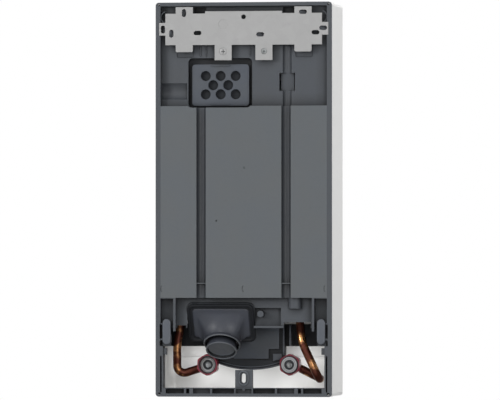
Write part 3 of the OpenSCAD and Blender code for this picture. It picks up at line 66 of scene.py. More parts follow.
PLATE_SHARP = 50.0  # an edge of a plate stays sharp above this angle in degrees
Point = Sequence[float]
Pair = tuple[float, float]
Colour = tuple[float, float, float]
Size = tuple[float, float, float]  # width, height and corner radius
Box = tuple[float, float, float, float]  # two opposite corners
Outline = Callable[[float], float]  # distance by angle


class Body(str, Enum):
    """Bodies of the frame that the dressed pieces ride on."""

    CASING = "casing"
    KNOB = "knob"
    COLD_NUT = "cold_nut"
    HOT_NUT = "hot_nut"
    LEFT_CATCH = "left_catch"
    RIGHT_CATCH = "right_catch"


class Slot(str, Enum):
    """The record's material slots, one named for each dressed piece."""

    PANEL = "panel_plastic"
    CARRIER = "carrier_plastic"
    SEAL = "seal_rubber"
    CATCH = "catch_plastic"
    SCREW = "screw_steel"
    COPPER = "copper"
    NUT = "red_plastic"
    GASKET = "gasket_grey"
    INSERT = "insert_grey"
    KNOB = "knob_silver"
    CREAM = "cream_plastic"


# Shader maths

class Value:
    """An output socket of a material's node tree, with arithmetic that adds Math nodes."""

    def __init__(self, tree: "Shader", socket: bpy.types.NodeSocket) -> None:
        """Wraps a socket.

        Args:
            tree: The shader that the socket belongs to.
            socket: The output socket.
        """
        self.tree = tree
        self.socket = socket

    def __add__(self, other: object) -> "Value":
        """Sum of two values."""
        return self.tree.maths("ADD", self, other)

    def __rsub__(self, other: object) -> "Value":
        """Difference, with the value on the right."""
        return self.tree.maths("SUBTRACT", other, self)

    def __mul__(self, other: object) -> "Value":
        """Product of two values."""
        return self.tree.maths("MULTIPLY", self, other)

    def __pow__(self, other: object) -> "Value":
        """Power of a value."""
        return self.tree.maths("POWER", self, other)

    __radd__ = __add__
    __rmul__ = __mul__

    def over(self, low: float, high: float) -> "Value":
        """Maps low to high smoothly onto 0 to 1.

        Args:
            low: The value that becomes 0.
            high: The value that becomes 1.

        Returns:
            The mapped value.
        """
        return self.tree.add(
            "ShaderNodeMapRange", {"interpolation_type": "SMOOTHSTEP"}, {0: self, 1: low, 2: high})


class Shader:
    """A material whose nodes are made by expressions."""

    def __init__(self, name: str) -> None:
        """Makes a material with one Principled shader.

        Args:
            name: The material's name.
        """
        self.material = bpy.data.materials.new(name)
        self.material.use_nodes = True
        self.nodes = self.material.node_tree.nodes
        self.links = self.material.node_tree.links
        self.surface = next(n for n in self.nodes if n.type == "BSDF_PRINCIPLED")
        self.place = self.nodes.new("ShaderNodeTexCoord").outputs["Object"]

    def add(self, kind: str, settings: dict, inputs: dict, output: object = 0) -> Value:
        """Adds one node.

        Args:
            kind: The node's type.
            settings: Attributes that are set first.
            inputs: Values, sockets or numbers, by socket name or index.
            output: The name or index of the output that is wanted.

        Returns:
            The output as a value.
        """
        node = self.nodes.new(kind)
        for name, setting in settings.items():
            setattr(node, name, setting)
        for name, given in inputs.items():
            self.feed(node.inputs[name], given)
        return Value(self, node.outputs[output])

    def maths(self, operation: str, first: object, second: object = 0.0) -> Value:
        """Adds one Math node.

        Args:
            operation: The node's operation.
            first: A value or a number.
            second: A value or a number.

        Returns:
            The node's output.
        """
        return self.add("ShaderNodeMath", {"operation": operation}, {0: first, 1: second})

    def feed(self, socket: bpy.types.NodeSocket, given: object) -> None:
        """Links a value to a socket, or sets the socket's own number or colour.

        Args:
            socket: The input socket.
            given: A value, a socket, a colour or a number.
        """
        if isinstance(given, Value):
            self.links.new(given.socket, socket)
        elif isinstance(given, bpy.types.NodeSocket):
            self.links.new(given, socket)
        elif isinstance(given, (tuple, list)) and socket.type == "RGBA":
            socket.default_value = (*given[:3], 1.0)
        else:
            socket.default_value = given

    def set(self, **inputs: object) -> None:
        """Feeds the Principled shader. A name's underscores stand for spaces."""
        for name, given in inputs.items():
            self.feed(self.surface.inputs[name.replace("_", " ")], given)

    def noise(self, size_mm: float, detail: float = 3.0, stretch: Point = (1, 1, 1)) -> Value:
        """Noise on the piece's own place.

        Args:
            size_mm: Size of the pattern.
            detail: Number of octaves.
            stretch: How much longer the pattern is along each axis.

        Returns:
            The noise, from 0 to 1.
        """
        scale = tuple(1.0 / (size_mm * MM * s) for s in stretch)
        at = self.add("ShaderNodeMapping", {}, {"Vector": self.place, "Scale": scale})
        return self.add("ShaderNodeTexNoise", {}, {"Vector": at, "Scale": 1.0, "Detail": detail})

    def cells(self, size_mm: float, output: str = "Distance") -> Value:
        """Cells on the piece's own place.

        Args:
            size_mm: Size of a cell.
            output: The output that is wanted.

        Returns:
            The chosen output.
        """
        return self.add("ShaderNodeTexVoronoi", {},
                        {"Vector": self.place, "Scale": 1.0 / (size_mm * MM)}, output)

    def mix(self, factor: object, first: object, second: object, blend: str = "MIX") -> Value:
        """Mixes two colours.

        Args:
            factor: Share of the second colour.
            first: A colour or a value.
            second: A colour or a value.
            blend: How the second colour goes onto the first.

        Returns:
            The mixed colour.
        """
        return self.add("ShaderNodeMix", {"data_type": "RGBA", "blend_type": blend},
                        {0: factor, 6: first, 7: second}, 2)

    def painted_occlusion_shade(self, colour: object, share: float, reach_mm: float) -> Value:
        """Paints shade into a colour in the crevices of its piece, by ambient occlusion.

        Args:
            colour: The colour in the open.
            share: How much painted shade a fully closed hollow takes away.
            reach_mm: How wide a hollow still gets painted shade.

        Returns:
            The colour.
        """
        clear = self.add("ShaderNodeAmbientOcclusion", {"samples": 8},
                         {"Distance": reach_mm * MM}, "AO") ** 1.5
        return self.mix(1.0, colour, clear * share + (1 - share), "MULTIPLY")

    def relief(self, height: Value, depth_mm: float, edge_mm: float) -> None:
        """Gives the surface a fine relief and softened edges.

        Args:
            height: The relief, from 0 to 1.
            depth_mm: Depth of the relief.
            edge_mm: Radius of the softened edges, or 0 for none.
        """
        inputs = {"Height": height, "Distance": depth_mm * MM, "Strength": 1.0}
        if edge_mm:
            inputs["Normal"] = self.add("ShaderNodeBevel", {"samples": 4}, {"Radius": edge_mm * MM})
        self.set(Normal=self.add("ShaderNodeBump", {}, inputs))


# Finishes

@dataclass(frozen=True)
class Finish:
    """What a piece is made of or painted with."""

    name: str

    def build(self) -> bpy.types.Material:
        """Makes the material.

        Returns:
            The material.
        """
        shader = Shader(self.name)
        self.fill(shader)
        return shader.material

    def fill(self, s: Shader) -> None:
        """Adds the finish's nodes to its shader."""
        raise NotImplementedError("a finish has its own nodes")


@dataclass(frozen=True)
class Plastic(Finish):
    """Moulded plastic or rubber with a fine grain, faint mottling and, where asked, painted shade
    in its crevices.
    """

    colour: Colour
    roughness: float = 0.45
    grain_mm: float = 0.35
    grain_depth_mm: float = 0.012
    mottling: float = 0.10
    edge_mm: float = 0.35
    coat: float = 0.0
    specular: float = 0.5
    # share and reach of the painted shade in the crevices
    crevice_shade: float = 0.0
    crevice_shade_mm: float = 16.0
    tint: Colour = (0.95, 0.98, 1.05)
    cloud_mm: float = 46.0
    dust_mm: float = 4.0

    def ground(self, s: Shader) -> object:
        """Returns the colour before the mottling."""
        return self.colour

    def fill(self, s: Shader) -> None:
        """Adds the finish's nodes to its shader.

        Args:
            s: The shader.
        """
        cloud = s.noise(self.cloud_mm, detail=2.0)
        dust = s.noise(self.dust_mm, detail=4.0)
        tint = s.mix(cloud.over(0.32, 0.68), (1, 1, 1), self.tint)
        tint = s.mix(dust.over(0.55, 0.8) * self.mottling, tint, (0.5, 0.5, 0.5))
        colour = s.mix(1.0, self.ground(s), tint, "MULTIPLY")
        # painted shade: the colour darkens in the crevices by ambient occlusion
        if self.crevice_shade:
            colour = s.painted_occlusion_shade(colour, self.crevice_shade, self.crevice_shade_mm)
        grain = s.noise(self.grain_mm, detail=2.0) * 0.7 + s.cells(self.grain_mm * 1.8) * 0.3
        s.set(Base_Color=colour, Roughness=dust.over(0.2, 0.8) * 0.14 + (self.roughness - 0.07),
              Coat_Weight=self.coat, Coat_Roughness=0.12, Specular_IOR_Level=self.specular)
        s.relief(grain, self.grain_depth_mm, self.edge_mm)


@dataclass(frozen=True)
class RaisedPlastic(Plastic):
    """Plastic whose raised field at the wall is painted lighter than the rest: a painted sheen for
    the light that its smooth face reflects.
    """

    field_sheen_colour: Colour = (0.5, 0.5, 0.5)
    low_mm: float = -119.2
    high_mm: float = 113.4
    reach_mm: float = 102.0
    border_mm: float = 0.3

    def ground(self, s: Shader) -> Value:
        """Makes the colour before the mottling.

        Args:
            s: The shader.

        Returns:
            The painted sheen colour on the field, and the plain colour beside it.
        """
        parts = [s.add("ShaderNodeSeparateXYZ", {}, {0: s.place}, axis) for axis in range(3)]
        across = s.maths("ABSOLUTE", parts[0])
        low, high, reach, border = (size * MM for size in (
            self.low_mm, self.high_mm, self.reach_mm, self.border_mm))
        # mask of the raised field, which takes the painted sheen colour
        inside = (parts[1].over(-0.8 * MM, -0.4 * MM)
                  * parts[2].over(low, low + border)
                  * (1 - parts[2].over(high - border, high))
                  * (1 - across.over(reach - border, reach)))
        return s.mix(inside, self.colour, self.field_sheen_colour)


@dataclass(frozen=True)
class Sheet(Finish):
    """Galvanised or zinc-plated sheet with spangle and rolling marks."""

    colour: Colour
    roughness: float = 0.42
    metallic: float = 0.55
    spangle_mm: float = 7.0
    spangle: float = 0.12
    rolled_mm: float = 1.2
    smudge_mm: float = 22.0
    edge_mm: float = 0.25

    def fill(self, s: Shader) -> None:
        """Adds the finish's nodes to its shader.

        Args:
            s: The shader.
        """
        flake = s.add("ShaderNodeSeparateColor", {}, {0: s.cells(self.spangle_mm, "Color")}, 0)
        rolled = s.noise(self.rolled_mm, stretch=(18, 1, 1))
        smudge = s.noise(self.smudge_mm)
        darker = tuple(c * (1 - self.spangle) for c in self.colour)
        lighter = tuple(min(1.0, c * (1 + self.spangle)) for c in self.colour)
        colour = s.mix(flake * 0.55 + rolled * 0.45, darker, lighter)
        colour = s.mix(smudge.over(0.6, 0.8) * 0.35, colour, tuple(c * 0.78 for c in self.colour))
        s.set(Base_Color=colour, Metallic=self.metallic,
              Roughness=smudge * 0.16 + rolled * 0.10 + (self.roughness - 0.12))
        s.relief(rolled * 0.8 + flake * 0.2, depth_mm=0.01, edge_mm=self.edge_mm)


@dataclass(frozen=True)
class Metal(Finish):
    """Turned or drawn metal with fine marks."""

    colour: Colour
    stain: Colour
    roughness: float = 0.3
    stained: float = 0.3
    stain_mm: float = 9.0
    blend: float = 0.3
    mark_mm: float = 0.5
    edge_mm: float = 0.12

    def fill(self, s: Shader) -> None:
        """Adds the finish's nodes to its shader.

        Args:
            s: The shader.
        """
        patch = s.noise(self.stain_mm, detail=4.0)
        fine = s.noise(self.mark_mm, detail=2.0)
        low = 0.62 - self.stained
        stain = patch.over(low, low + self.blend)
        colour = s.mix(stain, self.colour, self.stain)
        s.set(Base_Color=colour, Metallic=1.0 - stain * 0.25,
              Roughness=stain * 0.22 + fine * 0.08 + (self.roughness - 0.04))
        s.relief(fine, depth_mm=0.006, edge_mm=self.edge_mm)


@dataclass(frozen=True)
class CircuitBoard(Finish):
    """Lacquered circuit board with tracks under the lacquer."""

    name: str = "board_lacquer"
    colour: Colour = (0.018, 0.10, 0.045)
    track: Colour = (0.035, 0.17, 0.08)

    def fill(self, s: Shader) -> None:
        """Adds the finish's nodes to its shader.

        Args:
            s: The shader.
        """
        at = s.add("ShaderNodeMapping", {}, {"Vector": s.place, "Scale": (220.0, 220.0, 220.0),
                                             "Rotation": (math.radians(90), 0, 0)})
        tracks = s.add("ShaderNodeTexBrick", {"offset": 0.37, "squash": 0.6},
                       {"Vector": at, "Scale": 1.0, "Mortar Size": 0.06, "Brick Width": 0.9},
                       "Fac")
        s.set(Base_Color=s.mix(tracks, self.colour, self.track), Roughness=0.28, Coat_Weight=0.5)
        s.relief(tracks, depth_mm=0.02, edge_mm=0.2)


@dataclass(frozen=True)
class Window(Finish):
    """Dark glossy window with faint wipe marks."""

    name: str = "window_black"
    colour: Colour = (0.012, 0.013, 0.016)
    wiped_mm: float = 14.0

    def fill(self, s: Shader) -> None:
        """Adds the finish's nodes to its shader.

        Args:
            s: The shader.
        """
        wiped = s.noise(self.wiped_mm, detail=2.0)
        s.set(Base_Color=s.mix(wiped.over(0.4, 0.7) * 0.4, self.colour,
                               tuple(c * 1.4 for c in self.colour)),
              Roughness=wiped * 0.05 + 0.04, Coat_Weight=0.6)


class Paint:
    """Makes each finish once and puts it on objects."""

    made: dict[str, bpy.types.Material] = {}

    @classmethod
    def of(cls, finish: Finish) -> bpy.types.Material:
        """Gives a finish's material, made once.

        Args:
            finish: The finish.

        Returns:
            The material.
        """
        if finish.name not in cls.made:
            cls.made[finish.name] = finish.build()
        return cls.made[finish.name]

    @classmethod
    def on(cls, obj: bpy.types.Object, finish: Finish) -> bpy.types.Object:
        """Gives an object one finish.

        Args:
            obj: A piece or a CAD node.
            finish: The finish.

        Returns:
            The object.
        """
        material = cls.of(finish)
        if not obj.material_slots:
            obj.data.materials.append(material)
        for entry in obj.material_slots:
            entry.material = material
        return obj


# The panel's raised field takes a painted sheen colour; finishes with a crevice share get painted
# shade in their crevices.
PANEL = RaisedPlastic("panel_plastic", (0.070, 0.076, 0.085), roughness=0.5, mottling=0.08,
                      edge_mm=0.5, specular=0.3, crevice_shade=0.85, tint=(0.97, 0.99, 1.02),
                      field_sheen_colour=(0.109, 0.118, 0.125))
CATCH = Plastic("catch_plastic", (0.092, 0.100, 0.112), roughness=0.42, mottling=0.08, edge_mm=0.3,
                specular=0.4, crevice_shade=0.85, crevice_shade_mm=6.0)
HOOD = Plastic("hood_plastic", (0.80, 0.80, 0.79), roughness=0.34, grain_depth_mm=0.004,
               mottling=0.02, edge_mm=0.6, coat=0.15, tint=(1.0, 1.0, 1.0))
SEAL = Plastic("seal_rubber", (0.088, 0.096, 0.108), roughness=0.6, mottling=0.08, edge_mm=0,
               specular=0.25, crevice_shade=0.8, crevice_shade_mm=9.0)
# painted shade: the near-black floor of the entry seal's closed holes
MEMBRANE_SHADE = Plastic("seal_membrane", (0.016, 0.018, 0.021), roughness=0.6, edge_mm=0, specular=0.2)
GROMMET = Plastic("grommet_rubber", (0.046, 0.050, 0.061), roughness=0.42, mottling=0.08,
                  edge_mm=0, specular=0.3, crevice_shade=0.9, crevice_shade_mm=8.0)
# painted shade: the near-black colour of the grommet's flange and its mouth's inner wall
FLANGE_SHADE = Plastic("grommet_flange", (0.010, 0.011, 0.013), roughness=0.6, edge_mm=0, specular=0.2)
# painted highlight on the grommet's lip and spout rim, and painted light on the skin at the spout's
# floor
GROMMET_HIGHLIGHT = Plastic("grommet_skin", (0.115, 0.123, 0.132), roughness=0.5, edge_mm=0, specular=0.3)
BLACK = Plastic("carrier_plastic", (0.018, 0.020, 0.023), roughness=0.5, edge_mm=0.4,
                specular=0.25, crevice_shade=0.8)
DRUM = Plastic("drum_plastic", (0.076, 0.083, 0.093), roughness=0.5, edge_mm=0, specular=0.25,
               crevice_shade=0.8, crevice_shade_mm=10.0)
GREY = Plastic("insert_grey", (0.15, 0.16, 0.175), roughness=0.45)
# painted shade: dark pieces in the pipe mouths, collars, nut counterbores and screw crosses
PAINTED_SHADE = Plastic("insert_ring", (0.024, 0.025, 0.028), roughness=0.45, edge_mm=0, specular=0.3)
CREAM = Plastic("cream_plastic", (0.60, 0.56, 0.48), roughness=0.4, edge_mm=0.4)
WHITE = Plastic("turbine_white", (0.70, 0.70, 0.69), roughness=0.4)
CHIP = Plastic("part_black", (0.022, 0.024, 0.028), roughness=0.38)
LEAD = Plastic("lead_blue", (0.03, 0.05, 0.09), roughness=0.45, edge_mm=0)
MARK = Plastic("scale_grey", (0.20, 0.21, 0.22), roughness=0.5, edge_mm=0)
WARM = Plastic("scale_red", (0.42, 0.05, 0.04), roughness=0.5, edge_mm=0)
DIGIT = Plastic("digit_pale", (0.55, 0.68, 0.72), roughness=0.4, edge_mm=0)
KNOB = Plastic("knob_silver", (0.55, 0.56, 0.57), roughness=0.28, grain_depth_mm=0.002,
               mottling=0.03, coat=0.4, edge_mm=0)
FIBRE = Plastic("gasket_fibre", (0.37, 0.37, 0.365), roughness=0.7, mottling=0.2, edge_mm=0,
                crevice_shade=0.8, crevice_shade_mm=2.0)
CRIMSON = Plastic("crimson_plastic", (0.20, 0.008, 0.024), roughness=0.35, mottling=0.2,
                  tint=(0.9, 0.9, 1.0), coat=0.2, edge_mm=0, crevice_shade=0.8, crevice_shade_mm=6.0)
BRACKET = Sheet("galvanised_sheet", (0.345, 0.345, 0.345), metallic=0.3, spangle=0.035)
ZINC = Metal("screw_zinc", (0.24, 0.25, 0.25), (0.16, 0.17, 0.17), roughness=0.5, stained=0.2)
COPPER = Metal("copper_tube", (0.66, 0.34, 0.14), (0.080, 0.020, 0.011), roughness=0.25,
               stained=0.27, stain_mm=17.0, blend=0.16, edge_mm=0)
BRASS = Metal("brass", (0.60, 0.42, 0.14), (0.35, 0.22, 0.07), roughness=0.3, stained=0.15)
COIL = Metal("coil_wire", (0.36, 0.33, 0.29), (0.16, 0.14, 0.12), roughness=0.4)
BOARD = CircuitBoard()
GLASS = Window()

NODE_FINISHES = {
    PANEL: ["rear_panel"],
    HOOD: ["hood"],
    BRACKET: ["wall_bracket", "bracket_screws"],
    ZINC: ["block_screws", "board_screws", "clamp_screws", "turbine_pin",
           "water_sensors", "earth_lug", "encoder_body", "encoder_shaft", "hood_screw"],
    SEAL: ["upper_entry_seal"],
    GROMMET: ["cable_grommet"],
    CATCH: ["catch_left", "catch_right"],
    COPPER: ["cold_inlet_pipe", "hot_outlet_pipe"],
    CRIMSON: ["cold_union_nut", "hot_union_nut", "reset_button"],
    FIBRE: ["cold_gasket", "hot_gasket"],
    GREY: ["inlet_strainer", "outlet_insert", "flow_sensor_body", "link_tube"],
    BLACK: ["inner_carrier", "heating_block", "block_cover", "valve_body"],
    COIL: ["heating_coils"],
    WHITE: ["flow_turbine"],
    BRASS: ["valve_spindle", "terminal_screws"],
    CREAM: ["safety_switch", "thermal_cutout", "terminal_block", "cable_clamp"],
    BOARD: ["power_board", "control_board"],
    CHIP: ["board_parts", "display_module"],
    LEAD: ["inner_leads"],
    KNOB: ["knob"],
    GLASS: ["display_window"],
}


# Meshes

def to_room(x: float, depth: float, z: float) -> Matrix:
    """Gives a placement at a depth, with its own x and y to x and z, and z away from the wall."""
    return Matrix(((1, 0, 0, x), (0, 0, -1, -depth), (0, 1, 0, z), (0, 0, 0, 1)))


def linked(name: str, data: bpy.types.ID) -> bpy.types.Object:
    """Makes an object of its data and links it to the scene.

    Args:
        name: The object's name.
        data: A mesh, curve, lamp or camera.

    Returns:
        The object.
    """
    obj = bpy.data.objects.new(name, data)
    bpy.context.scene.collection.objects.link(obj)
    return obj


def drawn(name: str, points: Sequence[Point], edges: Sequence[Point] = (),
          faces: Sequence[Point] = ()) -> bpy.types.Mesh:
    """Makes a mesh.

    Args:
        name: Its name.
        points: Its points in metres.
        edges: Pairs of points.
        faces: Rings of points.

    Returns:
        The mesh.
    """
    mesh = bpy.data.meshes.new(name)
    mesh.from_pydata(points, edges, faces)
    return mesh


def evaluated(source: bpy.types.Object) -> bpy.types.Mesh:
    """Turns what an object's modifiers or curve make into a plain mesh.

    Args:
        source: The object.

    Returns:
        The mesh.
    """
    bpy.context.view_layer.update()
    view = bpy.context.evaluated_depsgraph_get()
    return bpy.data.meshes.new_from_object(source.evaluated_get(view))


def finished(name: str, mesh: bpy.types.Mesh, sharp: float) -> bpy.types.Object:
    """Merges doubles, turns faces outwards, shades a mesh and links its object.

    Args:
        name: The object's name.
        mesh: The mesh.
        sharp: Angle in degrees above which an edge stays sharp.

    Returns:
        The object.
    """
    shape = bmesh.new()
    shape.from_mesh(mesh)
    bmesh.ops.remove_doubles(shape, verts=shape.verts, dist=1e-7)
    bmesh.ops.recalc_face_normals(shape, faces=shape.faces)
    shape.to_mesh(mesh)
    shape.free()
    mesh.name = name
    mesh.shade_smooth()
    mesh.set_sharp_from_angle(angle=math.radians(sharp))
    return linked(name, mesh)


def joined(name: str, *parts: bpy.types.Object) -> bpy.types.Object:
    """Joins pieces into the first and names it.

    Args:
        name: The name of the whole.
        *parts: The pieces.

    Returns:
        The first piece, with all of the faces and materials.
    """
    first = parts[0]
    shape = bmesh.new()
    for part in parts:
        offset = len(first.data.materials)
        if part is not first:
            for material in part.data.materials:
                first.data.materials.append(material)
            for face in part.data.polygons:
                face.material_index += offset
        shape.from_mesh(part.data)
    shape.to_mesh(first.data)
    shape.free()
    for part in parts[1:]:
        bpy.data.objects.remove(part)
    first.name = name
    return first


def lofted(name: str, rings: Sequence[Sequence[Point]], place: Matrix = Matrix.Identity(4),
           loop: bool = False, sharp: float = 40.0) -> bpy.types.Object:
    """Skins rings of equal length. A ring of one point is a pole.

    Args:
        name: The piece's name.
        rings: The rings, in order.
        place: Placement of the rings.
        loop: True where the last ring joins the first.
        sharp: Angle in degrees above which an edge stays sharp.

    Returns:
        The object.
    """
    points, faces, starts = [], [], []
    for ring in rings:
        starts.append(len(points))
        points.extend((place @ Vector(p)) * MM for p in ring)
    pairs = list(zip(range(len(rings)), range(1, len(rings))))
    if loop:
        pairs.append((len(rings) - 1, 0))
    for low, high in pairs:
        count = max(len(rings[low]), len(rings[high]))
        for i in range(count):
            j = (i + 1) % count
            face = [starts[low] + k % len(rings[low]) for k in (i, j)]
            face += [starts[high] + k % len(rings[high]) for k in (j, i)]
            unique = list(dict.fromkeys(face))
            if len(unique) > 2:
                faces.append(unique)
    return finished(name, drawn(name, points, faces=faces), sharp)


def turned(name: str, place: Matrix, stations: Sequence[tuple[float, object]], sides: int = 72,
           loop: bool = False, sharp: float = 40.0) -> bpy.types.Object:
    """Makes a piece of rings about its own z.

    Args:
        name: The piece's name.
        place: Placement of the piece.
        stations: Height and radius of each ring. A radius may be a function of the angle.
        sides: Points in a ring.
        loop: True where the last ring joins the first, as on a piece with a bore.
        sharp: Angle in degrees above which an edge stays sharp.

    Returns:
        The object.
    """
    rings = []
    for height, radius in stations:
        if radius == 0:
            rings.append([(0, 0, height)])
            continue
        ring = []
        for i in range(sides):
            angle = math.tau * i / sides
            reach = radius(angle) if callable(radius) else radius
            ring.append((reach * math.cos(angle), reach * math.sin(angle), height))
        rings.append(ring)
    return lofted(name, rings, place, loop, sharp)


def hexagon(flats: float, most: float) -> Outline:
    """Gives a hexagon whose corners are cut off by a circle.

    Args:
        flats: Width across the flats.
        most: Radius of the circle.

    Returns:
        The outline.
    """
    def reach(angle: float) -> float:
        """Gives the outline's distance.

        Args:
            angle: The angle.

        Returns:
            The distance.
        """
        off = (angle + math.pi / 6) % (math.pi / 3) - math.pi / 6
        return min(flats / 2 / math.cos(off), most)
    return reach


def cross(arm: float, width: float) -> Outline:
    """Gives the outline of a cross recess.

    Args:
        arm: Length of an arm.
        width: Width of an arm.

    Returns:
        The outline.
    """
    def reach(angle: float) -> float:
        """Gives the outline's distance.

        Args:
            angle: The angle.

        Returns:
            The distance.
        """
        level = width / 2 / max(abs(math.sin(angle)), 1e-6)
        upright = width / 2 / max(abs(math.cos(angle)), 1e-6)
        return max(min(arm, level), min(arm, upright))
    return reach


def rounded_box(width: float, height: float, corner: float) -> Outline:
    """Gives a rectangle with round corners, as distance by angle.

    Args:
        width: Its width.
        height: Its height.
        corner: Radius of its corners.

    Returns:
        The outline.
    """
    def reach(angle: float) -> float:
        """Gives the outline's distance.

        Args:
            angle: The angle.

        Returns:
            The distance.
        """
        dx = max(abs(math.cos(angle)), 1e-9)
        dy = max(abs(math.sin(angle)), 1e-9)
        a, b = width / 2, height / 2
        if a * dy / dx <= b - corner:
            return a / dx
        if b * dx / dy <= a - corner:
            return b / dy
        cx, cy = a - corner, b - corner
        along = dx * cx + dy * cy
        return along + math.sqrt(max(0.0, along * along - cx * cx - cy * cy + corner * corner))
    return reach


def by_angle(outline: Outline, count: int, centre: Point = (0, 0)) -> list[Point]:
    """Samples an outline.

    Args:
        outline: Distance by angle.
        count: Number of points.
        centre: Its middle.

    Returns:
        The points.
    """
    points = []
    for i in range(count):
        angle = math.tau * (i + 0.5) / count
        reach = outline(angle)
        points.append((centre[0] + reach * math.cos(angle), centre[1] + reach * math.sin(angle)))
    return points


def disc_outline(radius: float, count: int, centre: Point = (0, 0)) -> list[Point]:
    """Gives the points of a circle."""
    return by_angle(lambda angle: radius, count, centre)


def box_outline(x0: float, z0: float, x1: float, z1: float) -> list[Point]:
    """Gives a rectangle's corners."""
    return [(x0, z0), (x1, z0), (x1, z1), (x0, z1)]


def slot_outline(length: float, width: float, centre: Point = (0, 0),
                 steps: int = 24) -> list[Point]:
    """Gives an upright slot with round ends.

    Args:
        length: Its height.
        width: Its width.
        centre: Its middle.
        steps: Points in each round end.

    Returns:
        The outline.
    """
    radius, reach = width / 2, (length - width) / 2
    points = []
    for end in (1, -1):
        for i in range(steps + 1):
            angle = math.pi * i / steps + (0 if end > 0 else math.pi)
            points.append((centre[0] + radius * math.cos(angle),
                           centre[1] + end * reach + radius * math.sin(angle)))
    return points


def rounded_plate(name: str, place: Matrix, outline: Sequence[Point], thick: float, edge: float,
                  holes: Sequence[Sequence[Point]] = ()) -> bpy.types.Object:
    """Makes a plate with rounded edges, standing from its own z = 0 to z = thick.

    Args:
        name: The piece's name.
        place: Placement of the plate.
        outline: Its outer outline, as points.
        thick: Its thickness.
        edge: Radius of its edges.
        holes: Outlines of its holes.

    Returns:
        The object.
    """
    data = bpy.data.curves.new(name, "CURVE")
    data.dimensions = "2D"
    data.fill_mode = "BOTH"
    data.extrude = thick / 2 - edge
    data.bevel_depth = edge
    data.bevel_resolution = 3
    data.offset = -edge
    for points in (outline, *holes):
        spline = data.splines.new("POLY")
        spline.points.add(len(points) - 1)
        for point, (x, y) in zip(spline.points, points):
            point.co = (x, y, 0, 1)
        spline.use_cyclic_u = True
    source = linked(name + "_outline", data)
    mesh = evaluated(source)
    bpy.data.objects.remove(source)
    mesh.transform(Matrix.Scale(MM, 4) @ place @ Matrix.Translation((0, 0, thick / 2)))
    return finished(name, mesh, PLATE_SHARP)


def rounded_route(points: Sequence[Point], radii: Sequence[float], step: float) -> list[Vector]:
    """Rounds the corners of a route.

    Args:
        points: The route's corners.
        radii: Bend radius at each inner corner.
        step: Angle between the points of a bend, in degrees.

    Returns:
        The points of the rounded route.
    """
    corners = [Vector(p) for p in points]
    line = [corners[0]]
    for before, at, after, radius in zip(corners, corners[1:], corners[2:], radii):
        come, go = (at - before).normalized(), (after - at).normalized()
        turn = come.angle(go)
        back = radius * math.tan(turn / 2)
        centre = at - come * back + (go - come * go.dot(come)).normalized() * radius
        arm = at - come * back - centre
        axis = come.cross(go).normalized()
        count = max(2, round(math.degrees(turn) / step))
        line += [centre + Matrix.Rotation(turn * k / count, 3, axis) @ arm
                 for k in range(count + 1)]
    line.append(corners[-1])
    return line


# Geometry Nodes

class Tree:
    """A Geometry Nodes tree with named inputs."""

    def __init__(self, name: str, inputs: dict[str, str]) -> None:
        """Makes the tree.

        Args:
            name: Its name.
            inputs: Name and socket type of each input after the geometry.
        """
        self.group = bpy.data.node_groups.new(name, "GeometryNodeTree")
        face = self.group.interface
        face.new_socket("Geometry", in_out="INPUT", socket_type="NodeSocketGeometry")
        face.new_socket("Geometry", in_out="OUTPUT", socket_type="NodeSocketGeometry")
        self.keys = {label: face.new_socket(label, in_out="INPUT", socket_type=kind).identifier
                     for label, kind in inputs.items()}
        self.given = self.group.nodes.new("NodeGroupInput")
        self.result = self.group.nodes.new("NodeGroupOutput")

    def node(self, kind: str, links: dict, **settings: object) -> bpy.types.Node:
        """Adds a node.

        Args:
            kind: Its type.
            links: A socket, a number, a text or the name of one of the tree's inputs, by the
                node's socket.
            **settings: Attributes that are set first.

        Returns:
            The node.
        """
        made = self.group.nodes.new(kind)
        for label, setting in settings.items():
            setattr(made, label, setting)
        for label, given in links.items():
            if isinstance(given, str) and given in self.given.outputs:
                given = self.given.outputs[given]
            if isinstance(given, bpy.types.NodeSocket):
                self.group.links.new(given, made.inputs[label])
            else:
                made.inputs[label].default_value = given
        return made

    def end(self, geometry: bpy.types.NodeSocket) -> "Tree":
        """Realizes the geometry, gives it the material input and ends the tree.

        Args:
            geometry: The output that holds the geometry.

        Returns:
            The tree.
        """
        real = self.node("GeometryNodeRealizeInstances", {"Geometry": geometry})
        painted = self.node("GeometryNodeSetMaterial",
                            {"Geometry": real.outputs[0], "Material": "Material"})
        self.group.links.new(painted.outputs[0], self.result.inputs[0])
        return self

    def run(self, base: bpy.types.Object, values: dict[str, object],
            sharp: float = 40.0) -> bpy.types.Object:
        """Runs the tree on an object and keeps the result as its plain mesh.

        Args:
            base: The object.
            values: A value for each named input.
            sharp: Angle in degrees above which an edge stays sharp.

        Returns:
            The object.
        """
        modifier = base.modifiers.new(self.group.name, "NODES")
        modifier.node_group = self.group
        for label, value in values.items():
            modifier[self.keys[label]] = value
        mesh = evaluated(base)
        base.modifiers.remove(modifier)
        name = base.name
        bpy.data.objects.remove(base)
        return finished(name, mesh, sharp)


def tube_tree() -> Tree:
    """Makes the tree that lays a round tube along a line of points.

    Returns:
        The tree.
    """
    tree = Tree("tube_along_line", {"Radius": "NodeSocketFloat", "Sides": "NodeSocketInt",
                                    "Material": "NodeSocketMaterial"})
    line = tree.node("GeometryNodeMeshToCurve", {"Mesh": "Geometry"})
    ring = tree.node("GeometryNodeCurvePrimitiveCircle",
                     {"Resolution": "Sides", "Radius": "Radius"})
    tube = tree.node("GeometryNodeCurveToMesh", {"Curve": line.outputs[0],
                                                 "Profile Curve": ring.outputs[0],
                                                 "Fill Caps": True})
    return tree.end(tube.outputs[0])


